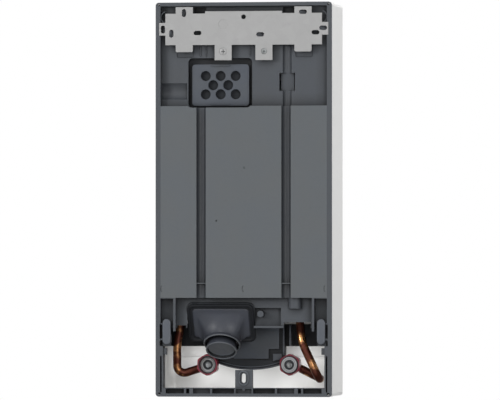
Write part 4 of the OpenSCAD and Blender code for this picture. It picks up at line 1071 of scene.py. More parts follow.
def copies_tree() -> Tree:
    """Makes the tree that puts a piece on points and turns it as each point says.

    Returns:
        The tree.
    """
    tree = Tree("copies_on_points", {"Piece": "NodeSocketObject", "Size": "NodeSocketFloat",
                                     "Material": "NodeSocketMaterial"})
    one = tree.node("GeometryNodeObjectInfo", {"Object": "Piece", "As Instance": True})
    turn = tree.node("GeometryNodeInputNamedAttribute", {"Name": TURN_NAME},
                     data_type="FLOAT_VECTOR")
    placed = tree.node("GeometryNodeInstanceOnPoints", {
        "Points": "Geometry", "Instance": one.outputs["Geometry"],
        "Rotation": turn.outputs["Attribute"], "Scale": "Size"})
    return tree.end(placed.outputs[0])


class Repeats:
    """Runs the trees that this object uses, each made once."""

    trees: dict[str, Tree] = {}

    @classmethod
    def tree(cls, make: Callable[[], Tree]) -> Tree:
        """Gives a maker's tree, made once.

        Args:
            make: The maker.

        Returns:
            The tree.
        """
        if make.__name__ not in cls.trees:
            cls.trees[make.__name__] = make()
        return cls.trees[make.__name__]

    @classmethod
    def tube(cls, name: str, line: Sequence[Point], radius: float, finish: Finish,
             sides: int = 32) -> bpy.types.Object:
        """Lays a tube along a line.

        Args:
            name: The piece's name.
            line: Points in millimetres.
            radius: Radius of the tube in millimetres.
            finish: Its finish.
            sides: Its sides.

        Returns:
            The object.
        """
        steps = [(i, i + 1) for i in range(len(line) - 1)]
        base = linked(name, drawn(name, [Vector(p) * MM for p in line], steps))
        return cls.tree(tube_tree).run(base, {"Radius": radius * MM, "Sides": sides,
                                              "Material": Paint.of(finish)})

    @classmethod
    def copies(cls, name: str, one: bpy.types.Object, places: Sequence[Matrix],
               finish: Finish) -> bpy.types.Object:
        """Puts copies of a plate at placements.

        Args:
            name: The group's name.
            one: The plate, which is used up.
            places: The placements, in millimetres.
            finish: The finish of the group.

        Returns:
            The object.
        """
        mesh = drawn(name, [place.translation * MM for place in places])
        turns = mesh.attributes.new(TURN_NAME, "FLOAT_VECTOR", "POINT")
        for entry, place in zip(turns.data, places):
            entry.vector = tuple(place.to_euler())
        values = {"Piece": one, "Size": 1.0, "Material": Paint.of(finish)}
        made = cls.tree(copies_tree).run(linked(name, mesh), values, PLATE_SHARP)
        made.data.attributes.remove(made.data.attributes[TURN_NAME])
        bpy.data.objects.remove(one)
        return made


def settle(obj: bpy.types.Object, body: Body, slot: Slot, *nodes: str) -> None:
    """Makes a finished piece part of the object.

    Args:
        obj: The piece.
        body: The body that it rides on.
        slot: Its material slot. Not used.
        *nodes: CAD nodes that it replaces.
    """
    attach(obj, body.value)
    if nodes:
        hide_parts(*nodes)
    LOG.info("%s rides on %s, %d faces", obj.name, body.value, len(obj.data.polygons))


# The photograph's view, light and floor

@dataclass(frozen=True)
class Lamp:
    """Soft lamp that points at a place, square unless its height is given."""

    name: str
    place: Point
    size: float
    power: float
    aim: Point = (0, 0, 0)
    height: float = 0.0

    def hang(self) -> None:
        """Adds the lamp to the scene."""
        data = bpy.data.lights.new(self.name, "AREA")
        data.size = self.size
        data.energy = self.power
        if self.height:
            data.shape = "RECTANGLE"
            data.size_y = self.height
        lamp = linked(self.name, data)
        lamp.location = self.place
        ahead = Vector(self.aim) - Vector(self.place)
        lamp.rotation_euler = ahead.to_track_quat("-Z", "Y").to_euler()


@dataclass(frozen=True)
class Studio:
    """Camera at the photograph's viewing angle, soft lights and a pale floor."""

    frame_px: tuple[int, int] = (500, 400)
    focal_px: float = 6608.7
    distance: float = 8.0
    azimuth: float = 9.113
    height: float = -0.1182
    aim: Point = (0.0, -0.05, 0.0)
    floor_drop: float = 0.35
    floor_reach: float = 14.0
    world_level: float = 0.12
    lamps: tuple[Lamp, ...] = (
        Lamp("rear_left", (2.5, 2.9, 0.9), 1.1, 54.0),
        Lamp("rear_right", (-1.8, 3.3, 0.5), 1.1, 42.0),
        Lamp("rear_top", (0.4, 2.9, 2.4), 1.0, 22.0),
        Lamp("rear_low", (-0.9, 3.2, -0.9), 0.9, 24.0, (0, 0, -0.2)),
        Lamp("hood_low", (0, -0.073, -0.2165), 0.15, 0.012, (0, -0.1, -0.2165), 0.018),
        Lamp("hood_side", (-0.066, -0.073, -0.191), 0.036, 0.005, (-0.066, -0.1, -0.191), 0.024),
        Lamp("hood_side", (0.066, -0.073, -0.191), 0.036, 0.005, (0.066, -0.1, -0.191), 0.024),
        Lamp("side_fill", (-3.0, 0.2, 0.6), 1.2, 1.6),
        Lamp("front_key", (-1.6, -2.8, 1.5), 1.2, 46.0),
        Lamp("front_fill", (2.6, -1.8, 0.3), 1.6, 17.0))

    def camera(self) -> None:
        """Makes the camera and makes it the scene's."""
        angle = math.radians(self.azimuth)
        place = Vector((-self.distance * math.sin(angle), self.distance * math.cos(angle),
                        self.height))
        ahead = (Vector(self.aim) - place).normalized()
        right = ahead.cross(Vector((0, 0, 1))).normalized()
        above = right.cross(ahead)
        data = bpy.data.cameras.new("photo_camera")
        data.sensor_width = 36.0
        data.lens = data.sensor_width * self.focal_px / self.frame_px[0]
        data.clip_end = 100.0
        camera = linked("photo_camera", data)
        turn = Matrix((right, above, -ahead)).transposed()
        camera.matrix_world = Matrix.Translation(place) @ turn.to_4x4()
        bpy.context.scene.camera = camera

    def world(self) -> None:
        """Makes a white background that lights the object at a plain level."""
        world = bpy.data.worlds.new("studio")
        world.use_nodes = True
        nodes = world.node_tree.nodes
        links = world.node_tree.links
        plain, seen = nodes["Background"], nodes.new("ShaderNodeBackground")
        for node, level in ((plain, self.world_level), (seen, 1.0)):
            node.inputs["Color"].default_value = (1, 1, 1, 1)
            node.inputs["Strength"].default_value = level
        rays = nodes.new("ShaderNodeLightPath")
        share = rays.outputs["Is Camera Ray"]
        for name in ("Is Glossy Ray", "Is Transmission Ray"):
            added = nodes.new("ShaderNodeMath")
            added.operation = "ADD"
            added.use_clamp = True
            links.new(share, added.inputs[0])
            links.new(rays.outputs[name], added.inputs[1])
            share = added.outputs[0]
        mixed = nodes.new("ShaderNodeMixShader")
        links.new(share, mixed.inputs[0])
        links.new(plain.outputs[0], mixed.inputs[1])
        links.new(seen.outputs[0], mixed.inputs[2])
        links.new(mixed.outputs[0], nodes["World Output"].inputs["Surface"])
        bpy.context.scene.world = world

    def floor(self) -> None:
        """Lays a plain pale floor well below the hanging object."""
        low, reach = CAD_BOX[0][2] - self.floor_drop, self.floor_reach
        corners = [(x, y, low) for x, y in box_outline(-reach, -reach, reach, reach)]
        floor = linked("floor", drawn("floor", corners, faces=[(0, 1, 2, 3)]))
        shade = Shader("floor_white")
        grain = shade.noise(300.0, detail=2.0)
        shade.set(Base_Color=shade.mix(grain, (0.90, 0.90, 0.90), (0.94, 0.94, 0.94)),
                  Roughness=0.9, Specular_IOR_Level=0.1)
        floor.data.materials.append(shade.material)

    def build(self) -> None:
        """Sets up the whole studio."""
        bpy.context.scene.view_settings.view_transform = "Standard"
        self.camera()
        for lamp in self.lamps:
            lamp.hang()
        self.world()
        self.floor()


# The pieces

@dataclass
class CableGrommet:
    """Rubber funnel for the mains cable, closed by a thin skin in its spout.

    The steps of the flange give its inset and height, those of the lip and spout the distance from
    the full radius and the place along the axis.
    """

    width: float = 81.4
    height: float = 51.2
    corner: float = 7.5
    top: Point = (30.0, -5.0, -128.0)
    slope: float = 28.5
    tilt: float = 56.7
    thick: float = 3.0
    base: Size = (58.0, 37.0, 7.0)
    base_drop: float = 4.6
    base_out: float = -0.2
    lip_at: Point = (30.0, -22.4, -175.2)
    lip_r: float = 22.5
    lip_root: Pair = (1.2, -2.6)
    spout_r: float = 19.15
    skin_r: float = 13.15
    skin_thick: float = 4.8
    floor_along: float = 6.2
    bow: float = 3.2
    inner_rings: int = 6
    outer_rings: int = 14
    sides: int = 120
    # rings of painted shade on the flange, of painted highlight on the lip and spout rim, and of
    # painted shade on the mouth's inner wall
    shade_steps: int = 9
    highlight_steps: int = 4
    mouth_steps: int = 2
    flange_steps: Sequence[Point] = (
        (0.6, -3.0), (0, -2.4), (0, -0.7), (0.25, -0.2), (0.8, 0), (2.2, 0), (2.6, -0.2),
        (2.9, -1.2), (3.4, -1.4), (6.0, -1.4), (6.5, -1.2), (6.7, -0.7), (7.1, -0.5), (7.9, -0.5))
    lip_steps: Sequence[Point] = (
        (0.5, -1.9), (0, -1.0), (0, 0.4), (0.4, 1.0), (1.0, 1.2), (1.7, 0.9), (1.9, 0.2),
        (2.2, -3.4), (5.95, -3.6), (6.55, -2.6), (6.55, -0.4))
    spout_steps: Sequence[Point] = (
        (1.0, 5.4), (0.1, 8.4), (0, 9.4), (0.3, 10.0), (0.9, 10.2), (1.6, 10.0), (2.0, 9.4),
        (2.1, 7.0), (2.9, 6.2), (8.86, 6.2), (14.8625, 6.2))

    @staticmethod
    def leaning(degrees: float) -> tuple[Vector, Vector]:
        """Gives the two directions of a slope.

        Args:
            degrees: Its lean.

        Returns:
            The directions down the slope and out of it.
        """
        lean = math.radians(degrees)
        return (Vector((0, -math.sin(lean), -math.cos(lean))),
                Vector((0, math.cos(lean), -math.sin(lean))))

    def ring(self, middle: Vector, down: Vector, reach: Outline) -> list[Vector]:
        """Gives a ring.

        Args:
            middle: Its middle.
            down: Its direction down.
            reach: Its distance from the middle by angle.

        Returns:
            The ring's points.
        """
        points = []
        for i in range(self.sides):
            angle = math.tau * i / self.sides
            far = reach(angle)
            points.append(middle + Vector((far * math.cos(angle), 0, 0))
                          + down * (far * math.sin(angle)))
        return points

    def flat(self, width: float, height: float, corner: float, out: float,
             drop: float = 0.0) -> list[Vector]:
        """Gives a rectangular ring on the slope of the flange.

        Args:
            width: Its width.
            height: Its height along the slope.
            corner: Its corner radius.
            out: Its height above the flange's face.
            drop: How far its middle lies below the flange's.

        Returns:
            The ring's points.
        """
        down, rise = self.leaning(self.slope)
        middle = Vector(self.top) + down * (self.height / 2 + drop) + rise * out
        return self.ring(middle, down, rounded_box(width, height, corner))

    def round(self, radius: float, along: float) -> list[Vector]:
        """Gives a round ring on the axis of the spout.

        Args:
            radius: Its radius, or 0 for a pole.
            along: Its place along the axis, from the middle of the lip.

        Returns:
            The ring's points.
        """
        down, axis = self.leaning(self.tilt)
        middle = Vector(self.lip_at) + axis * along
        return self.ring(middle, down, lambda angle: radius) if radius else [middle]

    def funnel(self, base: list[Vector], lip: list[Vector], steps: int) -> list[list[Vector]]:
        """Gives the rings between the base and the lip, bowed towards the middle.

        Args:
            base: The rectangular ring.
            lip: The round ring.
            steps: Number of steps.

        Returns:
            The rings between the two.
        """
        heart = sum(base + lip, Vector()) / (2 * len(base))
        rings = []
        for k in range(1, steps):
            t = k / steps
            ring = []
            for a, b in zip(base, lip):
                middle = (a + b) / 2
                bend = middle + (heart - middle).normalized() * self.bow
                ring.append(a * (1 - t) ** 2 + bend * 2 * t * (1 - t) + b * t * t)
            rings.append(ring)
        return rings

    def build(self) -> None:
        """Builds the grommet in one skin, from its inside over the flange to the spout."""
        inner = self.flat(*self.base, -self.thick, self.base_drop)
        low = self.flat(*self.base, self.base_out, self.base_drop)
        off, along = self.lip_root
        lip = self.round(self.lip_r - off, along)
        inner_lip = self.round(self.skin_r, 0)
        flange = [self.flat(self.width - 2 * i, self.height - 2 * i, self.corner - i / 2, out)
                  for i, out in self.flange_steps]
        lip_rings = [self.round(self.lip_r - off, along) for off, along in self.lip_steps]
        spout = [self.round(self.spout_r - off, along) for off, along in self.spout_steps]
        rings = [self.round(0, self.skin_thick), self.round(self.skin_r, self.skin_thick),
                 inner_lip, *reversed(self.funnel(inner, inner_lip, self.inner_rings)), inner,
                 *flange, low, *self.funnel(low, lip, self.outer_rings), lip, *lip_rings, *spout,
                 self.round(0, self.floor_along)]
        made = lofted("cable_grommet_skin", rings, sharp=60)
        self.paint(made, rings.index(flange[0]), rings.index(lip_rings[2]),
                   rings.index(spout[2]), len(rings))
        settle(made, Body.CASING, Slot.SEAL, "cable_grommet")

    def paint(self, made: bpy.types.Object, flange: int, lip: int, mouth: int, count: int) -> None:
        """Paints shade on the flange and the mouth's inner wall, highlights on the lip and the
        mouth's rim, and light on the skin at the floor.

        Args:
            made: The grommet.
            flange: First ring of the flange.
            lip: First ring of the painted highlight on the lip.
            mouth: First ring of the painted highlight on the spout's rim.
            count: Number of rings.
        """
        for finish in (GROMMET, FLANGE_SHADE, GROMMET_HIGHLIGHT):
            made.data.materials.append(Paint.of(finish))
        wall = mouth + self.highlight_steps
        floor = wall + self.mouth_steps
        # painted shade on the flange and the mouth's inner wall; painted highlight on the lip and
        # rim, and painted light on the floor's skin
        shaded = {*range(flange, flange + self.shade_steps), *range(wall, floor)}
        highlighted = {*range(lip, lip + self.highlight_steps), *range(mouth, wall), *range(floor, count)}
        for face in made.data.polygons:
            ring = (min(face.vertices) - 1) // self.sides + 1
            face.material_index = 1 if ring in shaded else 2 if ring in highlighted else 0


@dataclass
class WaterLine:
    """Copper pipe with its collar, gasket, insert and union nut."""

    name: str
    kind: str
    insert_node: str
    nut_body: Body
    x: float
    nut_depth: float
    route: Sequence[Point]
    radii: Sequence[float]
    z: float = -200.6
    collar_depth: float = 40.0
    collar_thick: float = 2.4
    collar_r: float = 9.6
    pipe_r: float = 5.0
    pipe_sides: int = 40
    bend_step: float = 7.5
    flats: float = 24.0
    corner_r: float = 13.1
    rear_r: float = 12.2
    front_r: float = 12.0
    nut_length: float = 16.0
    socket: float = 10.8
    bore_r: float = 9.8
    ring_r: float = 11.0
    turns: int = 5
    thread_depth: float = 0.75
    gasket_r: float = 9.6
    hole_r: float = 6.0
    gasket_depth: float = 38.0
    mouth_depth: float = 9.0
    ring_depth: float = -1.4
    disc_depth: float = 4.6
    washer_depth: float = 0.4

    def at(self, depth: float) -> Matrix:
        """Gives the placement on the line's axis at a depth."""
        return to_room(self.x, depth, self.z)

    def pipe(self) -> None:
        """Builds the bent pipe with its collar, and its mouth, painted dark as painted shade in the
        bore.
        """
        start = self.route[0]
        route = ((start[0], start[1] - self.mouth_depth, start[2]), *self.route[1:])
        line = rounded_route(route, self.radii, self.bend_step)
        name = self.name + "_pipe"
        pipe = Repeats.tube(name, line, self.pipe_r, COPPER, self.pipe_sides)
        r, t = self.collar_r, self.collar_thick
        collar = turned("collar", self.at(self.collar_depth), (
            (0.3, self.hole_r), (0, self.hole_r + 0.3), (0, r - 0.4), (0.4, r),
            (t - 0.5, r), (t, r - 0.5), (t, self.pipe_r - 0.2)), sides=64, loop=True)
        end, bore = self.mouth_depth + 0.4, self.pipe_r - 1.0
        # painted shade: the mouth's bore and rim take the dark shade colour
        mouth = turned("mouth", self.at(-start[1]), (
            (self.mouth_depth - 1, 0), (self.mouth_depth - 1, bore), (0.3, bore), (0, bore + 0.3),
            (0, self.pipe_r - 0.2), (0.2, self.pipe_r), (end, self.pipe_r), (end, 0)),
            sides=self.pipe_sides)
        whole = joined(name + "_skin", pipe, Paint.on(collar, COPPER), Paint.on(mouth, PAINTED_SHADE))
        settle(whole, Body.CASING, Slot.COPPER, name)

    def nut(self) -> None:
        """Builds the chamfered nut with its counterbore and thread."""
        n = self.nut_length
        rear, whole, front = (hexagon(self.flats, most)
                              for most in (self.rear_r, self.corner_r, self.front_r))
        pitch = (self.socket - 0.8) / self.turns
        thread = []
        for k in range(self.turns):
            low, deep = self.socket - k * pitch, self.bore_r + self.thread_depth
            thread += [(low, self.bore_r), (low - pitch * 0.4, deep), (low - pitch * 0.6, deep)]
        stations = [(0, self.ring_r), (0, rear), (0.9, whole), (n - 1.2, whole), (n, front),
                    (n, self.pipe_r + 0.1), (self.socket, self.pipe_r + 0.1), *thread,
                    (1.5, self.bore_r), (1.5, self.ring_r - 0.1), (0.2, self.ring_r - 0.1)]
        nut = turned(self.name + "_nut_skin", self.at(self.nut_depth), stations,
                     sides=144, loop=True, sharp=25)
        settle(Paint.on(nut, CRIMSON), self.nut_body, Slot.NUT, self.kind + "_union_nut")

    def gasket(self) -> None:
        """Builds the gasket with softened edges."""
        r, hole = self.gasket_r, self.hole_r
        ring = turned(self.name + "_gasket_skin", self.at(self.gasket_depth), (
            (0, hole + 0.5), (0, hole + 1.4), (0.35, hole + 1.6), (0.35, hole + 1.9),
            (0, hole + 2.1), (0, r - 0.4), (0.4, r), (1.6, r), (2.0, r - 0.4), (2.0, hole + 0.4),
            (1.6, hole), (0.5, hole)), sides=96, loop=True, sharp=60)
        settle(Paint.on(ring, FIBRE), Body.CASING, Slot.GASKET, self.kind + "_gasket")

    def insert(self) -> None:
        """Builds the dark ring in the collar and the dark washer in the nut's counterbore, both
        painted shade, and the light disc in the pipe.
        """
        hole, out = self.hole_r, self.ring_r
        # painted shade: dark ring inside the collar's hole
        ring = turned("ring", self.at(self.collar_depth + self.ring_depth), (
            (0.3, 3.5), (0, 3.9), (0, 4.7), (0.7, 5.0), (0.9, hole - 0.3), (1.2, hole - 0.1),
            (2.9, hole - 0.1), (2.9, 3.5)), sides=72, loop=True, sharp=30)
        # painted shade: dark washer in the gap between the gasket and the nut
        washer = turned("washer", self.at(self.nut_depth + self.washer_depth), (
            (0.1, self.bore_r + 0.05), (0, self.bore_r + 0.2), (0, out - 0.3), (0.1, out - 0.15),
            (0.9, out - 0.15), (0.9, self.bore_r + 0.05)), sides=96, loop=True, sharp=60)
        disc = turned("disc", self.at(self.collar_depth + self.disc_depth), (
            (0, 0), (0, 1.0), (0.5, 1.2), (0.5, 2.3), (0, 2.5), (0, 3.5), (0.4, 3.9), (2.0, 3.9),
            (2.0, 0)), sides=48)
        whole = joined(self.insert_node + "_skin", Paint.on(ring, PAINTED_SHADE), Paint.on(disc, WHITE),
                       Paint.on(washer, PAINTED_SHADE))
        settle(whole, Body.CASING, Slot.INSERT, self.insert_node)

    def build(self) -> None:
        """Builds the whole line."""
        self.pipe()
        self.nut()
        self.gasket()
        self.insert()


@dataclass
class BracketScrews:
    """The two screws that hold the wall bracket to the panel."""

    z: float = 179.3
    x: float = 25.0
    depth: float = 0.1
    shank_r: float = 1.95
    length: float = 14.5
    seat: float = 0.7
    head_r: Pair = (4.3, 3.5)
    arm: Pair = (2.4, 1.6)
    arm_share: float = 0.36
    recess: float = 0.55
    # top and floor of the dark plate in the cross recess, which paints its shade
    cross_floor: Pair = (0.45, 0.62)

    def screw(self, x: float, head_r: float, arm: float, finish: Finish) -> bpy.types.Object:
        """Builds one countersunk screw with a dark plate in its cross recess: painted shade.

        Args:
            x: Its place.
            head_r: Radius of its head.
            arm: Length of an arm of its cross.
            finish: Its finish.

        Returns:
            The object.
        """
        slot, place = cross(arm, arm * self.arm_share), to_room(x, self.depth, self.z)
        top, floor = self.cross_floor
        # painted shade: a dark plate fills the floor of the cross recess
        shaded = turned("cross", place, ((top, 0), (top, slot), (floor, slot), (floor, 0)),
                      sides=96, sharp=30)
        screw = turned("screw", place, (
            (self.recess, 0), (self.recess, slot), (0, slot), (0, head_r - 0.5),
            (0.12, head_r - 0.15), (0.3, head_r), (self.seat - 0.1, head_r),
            (self.seat + 0.1, self.shank_r), (self.length - 1, self.shank_r), (self.length, 0.4),
            (self.length, 0)), sides=96, sharp=30)
        return joined("screw", Paint.on(screw, finish), Paint.on(shaded, PAINTED_SHADE))

    def build(self) -> None:
        """Builds both screws."""
        screws = [self.screw(x, head_r, arm, finish) for x, head_r, arm, finish in zip(
            (self.x, -self.x), self.head_r, self.arm, (BRACKET, ZINC))]
        settle(joined("bracket_screws_skin", *screws), Body.CASING, Slot.SCREW,
               "bracket_screws")


@dataclass
class EntrySeal:
    """Rounded rubber seal of the upper entry with its eight closed places."""

    x: float = 30.0
    z: float = 138.9
    face_width: float = 70.2
    height: float = 50.8
    corner: float = 4.0
    depth: float = 12.0
    back: float = 25.0
    hole_r: float = 6.0
    hole_depth: float = 6.0
    lap: float = 0.2
    step_x: float = 18.4
    step_z: float = 11.2
    neck: Size = (63.9, 42.2, 3.7)
    neck_start: float = 8.0
    tab: Size = (24.0, 1.4, 0.6)
    tab_rise: float = 0.8
    tab_inset: float = 2.0

    def at(self, depth: float, up: float = 0.0) -> Matrix:
        """Gives the placement at a depth, up from the seal's middle."""
        return to_room(self.x, depth, self.z + up)

    def build(self) -> None:
        """Builds the face with its holes, the floor of the holes in painted shade, the neck and the
        two tabs.
        """
        centres = [(i * self.step_x, row * self.step_z) for row in (-1, 1) for i in (-1, 0, 1)]
        centres += [(i * self.step_x / 2, 0.0) for i in (-1, 1)]
        outer, inner = (by_angle(rounded_box(self.face_width - less, self.height - less,
                                             self.corner), count=160) for less in (0, 1))
        holes = [disc_outline(self.hole_r, 40, centre) for centre in centres]
        face = rounded_plate("seal_face", self.at(self.depth), outer, self.hole_depth,
                             edge=0.55, holes=holes)
        # painted shade: the floor of the holes is near black
        floor = rounded_plate("seal_floor", self.at(self.depth + self.hole_depth - self.lap),
                              inner, thick=3.2, edge=0.4)
        neck = rounded_plate("seal_neck", self.at(self.depth + self.neck_start),
                             by_angle(rounded_box(*self.neck), count=120),
                             self.back - self.depth - self.neck_start, edge=0.4)
        tab = rounded_plate("seal_tab", Matrix.Identity(4),
                            by_angle(rounded_box(*self.tab), count=60), thick=2.0, edge=0.3)
        offset = self.height / 2 - self.tab_inset
        tabs = Repeats.copies("seal_tabs", tab, [
            self.at(self.depth - self.tab_rise, up) for up in (-offset, offset)], SEAL)
        whole = joined("upper_entry_seal_skin", Paint.on(face, SEAL), Paint.on(floor, MEMBRANE_SHADE),
                       Paint.on(neck, SEAL), tabs)
        settle(whole, Body.CASING, Slot.SEAL, "upper_entry_seal")


@dataclass
class Catch:
    """Sliding catch with its neck and foot."""

    side: int
    x: float = 94.7
    z: float = -160.2
    width: float = 10.2
    length: float = 30.8
    thick: float = 4.0
    edge: float = 1.1
    neck_low: float = -12.9
    neck_height: float = 8.0
    neck_half: float = 2.0
    foot_half: float = 4.8
    foot_thick: float = 2.5
    foot_edge: float = 1.5
    ledge_back: float = 6.6
    lap: float = 0.5

    def at(self, depth: float) -> Matrix:
        """Gives the placement at a depth."""
        return to_room(self.side * self.x, depth, self.z)

    def build(self) -> None:
        """Builds the catch of one side."""
        low, high = self.neck_low, self.neck_low + self.neck_height
        face = rounded_plate("face", self.at(0.0), slot_outline(self.length, self.width),
                             self.thick, self.edge)
        neck = rounded_plate("neck", self.at(self.thick - self.lap),
                             box_outline(-self.neck_half, low, self.neck_half, high),
                             self.ledge_back - self.thick + 2 * self.lap, edge=0.3)
        foot = rounded_plate("foot", self.at(self.ledge_back), box_outline(
            -self.foot_half, low - self.foot_edge, self.foot_half, high + self.foot_edge),
            self.foot_thick, edge=0.4)
        body, node = ((Body.RIGHT_CATCH, "catch_right") if self.side > 0
                      else (Body.LEFT_CATCH, "catch_left"))
        whole = joined(node + "_skin", *(Paint.on(part, CATCH) for part in (face, neck, foot)))
        settle(whole, body, Slot.CATCH, node)


@dataclass
class DrumFace:
    """Raised plates and ribs on the rear face of the inner carrier's drum."""

    depth: float = 58.1
    raised: float = 2.4
    centre_z: float = -94.0
    rim_r: float = 112.8
    rim_width: float = 1.3
    rim_height: float = 1.8
    band_inset: Pair = (2.8, 4.0)
    band_height: float = 1.4
    edge_height: float = 3.6
    soft: float = 0.3
    plate_soft: float = 0.5
    half_width: float = 41.6
    arc_steps: int = 40
    main_plate: Sequence[Point] = ((38, -152), (-35.1, -152), (-35.1, -181.5), (-22.2, -181.5),
                                   (-22.2, -193.4), (20, -193.4), (38, -184))
    small_plate: Sequence[Point] = ((-27.2, -187.3), (-38.6, -187.3), (-38.6, -194.0),
                                    (-27.2, -196.2))
    side_rib: Box = (-50.2, -178.0, -48.4, -152.0)
    edge_rib: Box = (-41.6, -189.0, -39.8, -152.0)
    side_height: float = 16.1
    carrier_depth: float = 66.1

    def arc(self, outer: float, inner: float) -> list[Point]:
        """Gives a band that follows the drum's round lower edge.

        Args:
            outer: Its outer radius.
            inner: Its inner radius.

        Returns:
            The band's outline.
        """
        points = []
        for radius, order in ((outer, 1), (inner, -1)):
            reach = math.asin(self.half_width / radius)
            steps = [reach * (2 * i / self.arc_steps - 1)
                     for i in range(self.arc_steps + 1)][::order]
            points += [(radius * math.sin(a), self.centre_z - radius * math.cos(a)) for a in steps]
        return points

    def build(self) -> None:
        """Builds the plates, the two bands and the upright ribs."""
        x0, z0, x1, z1 = self.side_rib
        rim = self.arc(self.rim_r, self.rim_r - self.rim_width)
        band = self.arc(*(self.rim_r - inset for inset in self.band_inset))
        on_face = [(self.main_plate, self.raised, self.plate_soft),
                   (self.small_plate, self.raised, self.plate_soft),
                   (rim, self.rim_height, self.soft), (band, self.band_height, self.soft),
                   (box_outline(*self.edge_rib), self.edge_height, self.soft)]
        beside = [(box_outline(*box), self.side_height, self.soft)
                  for box in ((x0, z0, x1, z1), (-x1, z0, -x0, z1))]
        parts = [Paint.on(rounded_plate("part", to_room(0, foot - high, 0), outline, high, edge),
                          DRUM)
                 for foot, shapes in ((self.depth, on_face), (self.carrier_depth, beside))
                 for outline, high, edge in shapes]
        settle(joined("drum_face", *parts), Body.CASING, Slot.CARRIER)


@dataclass
class PanelTrim:
    """Small mouldings of the rear panel: lug ring with a painted highlight, pads of painted light
    behind the bracket's slots, slot bars, and screens of painted shade at the top.
    """

    lug_z: float = -216.3
    lug_depth: float = 1.6
    lug_ring: Pair = (18.6, 12.4)
    lug_slot: Pair = (11.4, 5.4)
    ring_height: float = 1.3
    # dark screens of painted shade behind the openings at the top
    screen_x: float = 54.5
    screen_w: float = 24.0
    screen_low: float = 221.0
    screen_high: float = 235.2
    screen_depth: float = 13.2
    slot_bars: Sequence[Pair] = ((-151.4, -150.0), (-170.4, -168.5))
    bar_near: float = 99.9
    bar_far: float = 103.1
    bar_depth: float = 0.8
    # lighter pads behind the bracket's slots, painted light on the floor
    pad_depth: float = 8.3
    pad_length: float = 9.0
    pad_width: float = 5.0
    pads: Sequence[tuple[float, float, bool]] = (
        (74.4, 226.2, True), (97.6, 206.4, True), (90.0, 201.2, True), (-19.1, 199.8, False),
        (-71.5, 226.8, False), (-96.2, 207.3, False))

    def lit_pads(self) -> None:
        """Builds the lighter pads that show in the bracket's slots: painted light on the floor
        behind them.
        """
        lying = Matrix.Rotation(math.radians(-90), 4, "Z")
        pad = rounded_plate("pad", Matrix.Identity(4),
                            slot_outline(self.pad_length, self.pad_width), thick=0.8,
                            edge=0.2)
        places = [to_room(x, self.pad_depth, z) @ (Matrix.Identity(4) if upright else lying)
                  for x, z, upright in self.pads]
        settle(Repeats.copies("bracket_pads", pad, places, GREY), Body.CASING, Slot.PANEL)

    def ring(self) -> None:
        """Builds the raised ring round the lug's slot, in the lighter catch colour as a painted
        highlight.
        """
        # painted highlight: the ring takes the lighter catch colour
        ring = rounded_plate("lug_ring", to_room(0, self.lug_depth - self.ring_height, self.lug_z),
                             slot_outline(*self.lug_ring), self.ring_height, edge=0.6,
                             holes=[slot_outline(*self.lug_slot)])
        settle(Paint.on(ring, CATCH), Body.CASING, Slot.PANEL)

    def bars(self) -> None:
        """Builds the bars across the slots beside the catches."""
        middle = (self.bar_near + self.bar_far) / 2
        pairs = []
        for low, high in self.slot_bars:
            bar = rounded_plate("bar", Matrix.Identity(4), box_outline(
                self.bar_near - middle, low, self.bar_far - middle, high), thick=1.6, edge=0.3)
            pairs.append(Repeats.copies("bars", bar, [
                to_room(side * middle, self.bar_depth, 0) for side in (1, -1)], CATCH))
        settle(joined("slot_bars", *pairs), Body.CASING, Slot.PANEL)

    def shade_screens(self) -> None:
        """Builds the dark screens behind the bracket, painted shade seen through the openings at
        the top.
        """
        half = self.screen_w / 2
        screen = rounded_plate("screen", Matrix.Identity(4), box_outline(
            -half, self.screen_low, half, self.screen_high), thick=2.0, edge=0.4)
        places = [to_room(side * self.screen_x, self.screen_depth, 0) for side in (-1, 1)]
        settle(Repeats.copies("top_screens", screen, places, BLACK), Body.CASING,
               Slot.CARRIER)

    def build(self) -> None:
        """Builds all of the trim."""
        self.lit_pads()
        self.ring()
        self.bars()
        self.shade_screens()


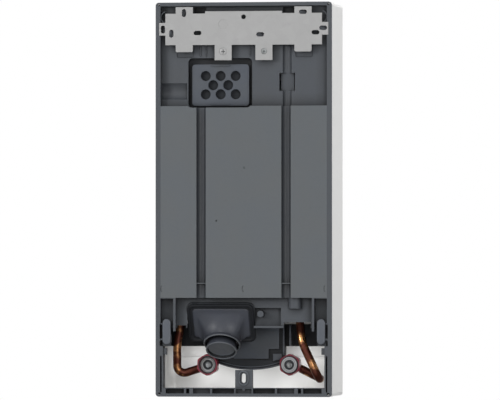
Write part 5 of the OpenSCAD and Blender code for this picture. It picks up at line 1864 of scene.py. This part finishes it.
@dataclass
class Front:
    """Knob with its scale, and the bezel and digits of the display."""

    knob_z: float = 70.0
    knob_depth: float = 104.6
    knob_r: float = 22.6
    grip: float = 0.35
    grips: int = 40
    pointer_up: float = 16.6
    pointer_out: float = 9.8
    hood_depth: float = 104.0
    scale_r: float = 29.5
    scale_sunk: float = 0.25
    ticks: int = 21
    tick: float = 2.2
    tick_growth: float = 2.6
    small_tick: float = 1.4
    sweep: float = 135.0
    warm_from: float = 0.78
    window_z: float = 126.0
    bezel_sunk: float = 0.4
    lit_sunk: float = 0.15
    bezel_outer: Size = (62.0, 34.0, 6.0)
    bezel_inner: Size = (57.4, 29.4, 3.8)
    digits: Sequence[tuple[str, float]] = (("bcfg", -9.0), ("abdeg", 3.5))
    digit_h: float = 14.0
    digit_w: float = 7.6
    bar_half: float = 0.7
    degree_at: Point = (12.6, 5.8)
    degree_r: Pair = (1.9, 1.2)

    def knob(self) -> None:
        """Builds the ribbed knob with its pointer."""
        def ribbed(angle: float) -> float:
            """Radius of the ribbed rim at an angle."""
            return self.knob_r + self.grip * math.cos(self.grips * angle)

        r = self.knob_r
        body = turned("knob", to_room(0, self.knob_depth, self.knob_z), (
            (6.8, 0), (6.8, 3.1), (0, 3.1), (0, r - 1.6), (0.4, r - 1.0), (1.0, r - 0.7),
            (1.3, ribbed), (7.4, ribbed), (8.0, r - 0.6), (8.9, r - 1.1), (9.7, r - 1.9),
            (10.1, r - 3.0), (10.2, r - 4.2), (10.2, 12.4), (9.9, 12.0), (9.8, 11.0), (9.8, 0)),
            sides=240, sharp=35)
        place = to_room(0, self.knob_depth + self.pointer_out, self.knob_z + self.pointer_up)
        pointer = rounded_plate("pointer", place, slot_outline(length=6.4, width=1.5),
                                thick=0.6, edge=0.15)
        whole = joined("knob_skin", Paint.on(body, KNOB), Paint.on(pointer, CHIP))
        settle(whole, Body.KNOB, Slot.KNOB, "knob")

    def scale(self) -> None:
        """Builds the marks round the knob, which grow and turn red towards hot."""
        middle = to_room(0, self.hood_depth - self.scale_sunk, self.knob_z)
        marks = []
        for i in range(self.ticks):
            share = i / (self.ticks - 1)
            length = self.small_tick if i % 2 else self.tick + self.tick_growth * share
            turn = Matrix.Rotation(math.radians(self.sweep * (1 - 2 * share)), 4, "Z")
            mark = rounded_plate("mark", middle @ turn,
                                 slot_outline(length, 0.7, (0, self.scale_r)), thick=0.45,
                                 edge=0.1)
            marks.append(Paint.on(mark, WARM if share > self.warm_from else MARK))
        settle(joined("knob_scale", *marks), Body.CASING, Slot.CARRIER)

    def bezel(self) -> None:
        """Builds the frame round the display's window."""
        outer, inner = (by_angle(rounded_box(*size), count=160)
                        for size in (self.bezel_outer, self.bezel_inner))
        place = to_room(0, self.hood_depth - self.bezel_sunk, self.window_z)
        ring = rounded_plate("display_bezel", place, outer, thick=0.9, edge=0.3, holes=[inner])
        settle(Paint.on(ring, KNOB), Body.CASING, Slot.KNOB)

    def lit(self, x: float, up: float, outline: Sequence[Point],
            holes: Sequence[Sequence[Point]] = ()) -> bpy.types.Object:
        """Builds one lit shape of the display.

        Args:
            x: Its place across the window.
            up: Its height above the window's middle.
            outline: Its outline.
            holes: Outlines of its holes.

        Returns:
            The object.
        """
        place = to_room(x, self.hood_depth - self.lit_sunk, self.window_z + up)
        return Paint.on(rounded_plate("lit", place, outline, thick=0.3, edge=0.05, holes=holes),
                        DIGIT)

    def digit(self, bars: str, x: float) -> list[bpy.types.Object]:
        """Builds the lit bars of one digit.

        Args:
            bars: Letters of its bars, from a at the top to g in the middle.
            x: The middle of the digit.

        Returns:
            The bars.
        """
        wide, high, r = self.digit_w / 2, self.digit_h / 2, self.bar_half
        places = {"a": (0, high, False), "d": (0, -high, False), "g": (0, 0, False),
                  "b": (wide, high / 2, True), "c": (wide, -high / 2, True),
                  "f": (-wide, high / 2, True), "e": (-wide, -high / 2, True)}
        made = []
        for bar in bars:
            across, up, upright = places[bar]
            reach = high / 2 - 0.5 if upright else wide - 0.5
            points = [(-r, -reach + r), (0, -reach), (r, -reach + r), (r, reach - r), (0, reach),
                      (-r, reach - r)]
            if not upright:
                points = [(b, -a) for a, b in points]
            made.append(self.lit(x + across, up, points))
        return made

    def display(self) -> None:
        """Builds the digits and the degree mark."""
        lit = [bar for bars, x in self.digits for bar in self.digit(bars, x)]
        outer, inner = (disc_outline(radius, 32) for radius in self.degree_r)
        lit.append(self.lit(*self.degree_at, outer, [inner]))
        settle(joined("display_digits", *lit), Body.CASING, Slot.CREAM)

    def build(self) -> None:
        """Builds the knob, its scale and the display."""
        self.knob()
        self.scale()
        self.bezel()
        self.display()


def dress_frame() -> None:
    """Gives every carried-over CAD node its finish."""
    for finish, names in NODE_FINISHES.items():
        for name in names:
            Paint.on(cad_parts[name], finish)
    LOG.info("dressed %d nodes", sum(len(names) for names in NODE_FINISHES.values()))


def build_connections() -> None:
    """Builds the grommet and both water lines."""
    CableGrommet().build()
    WaterLine("cold_inlet", "cold", "inlet_strainer", Body.COLD_NUT, 50.0, 31.9, (
        (50, -41.6, -200.6), (50, -62, -200.6), (90.5, -54, -214), (90, -50, -176),
        (86, -50, -156), (86, -50, -140)), (9, 9, 60, 60)).build()
    WaterLine("hot_outlet", "hot", "outlet_insert", Body.HOT_NUT, -50.0, 40.9, (
        (-50, -41.6, -200.6), (-50, -67, -200.6), (-84.5, -67, -217.6), (-86, -42, -217.6),
        (-65.1, -45, -174), (-61.6, -50, -154), (-61.6, -50, -140)), (9, 9, 9, 40, 30)).build()


def main() -> None:
    """Builds the scene in order."""
    logging.basicConfig(level=logging.INFO, format="%(name)s: %(message)s")
    Studio().build()
    dress_frame()
    build_connections()
    BracketScrews().build()
    EntrySeal().build()
    Catch(1).build()
    Catch(-1).build()
    DrumFace().build()
    PanelTrim().build()
    Front().build()


if __name__ == "__main__":
    main()
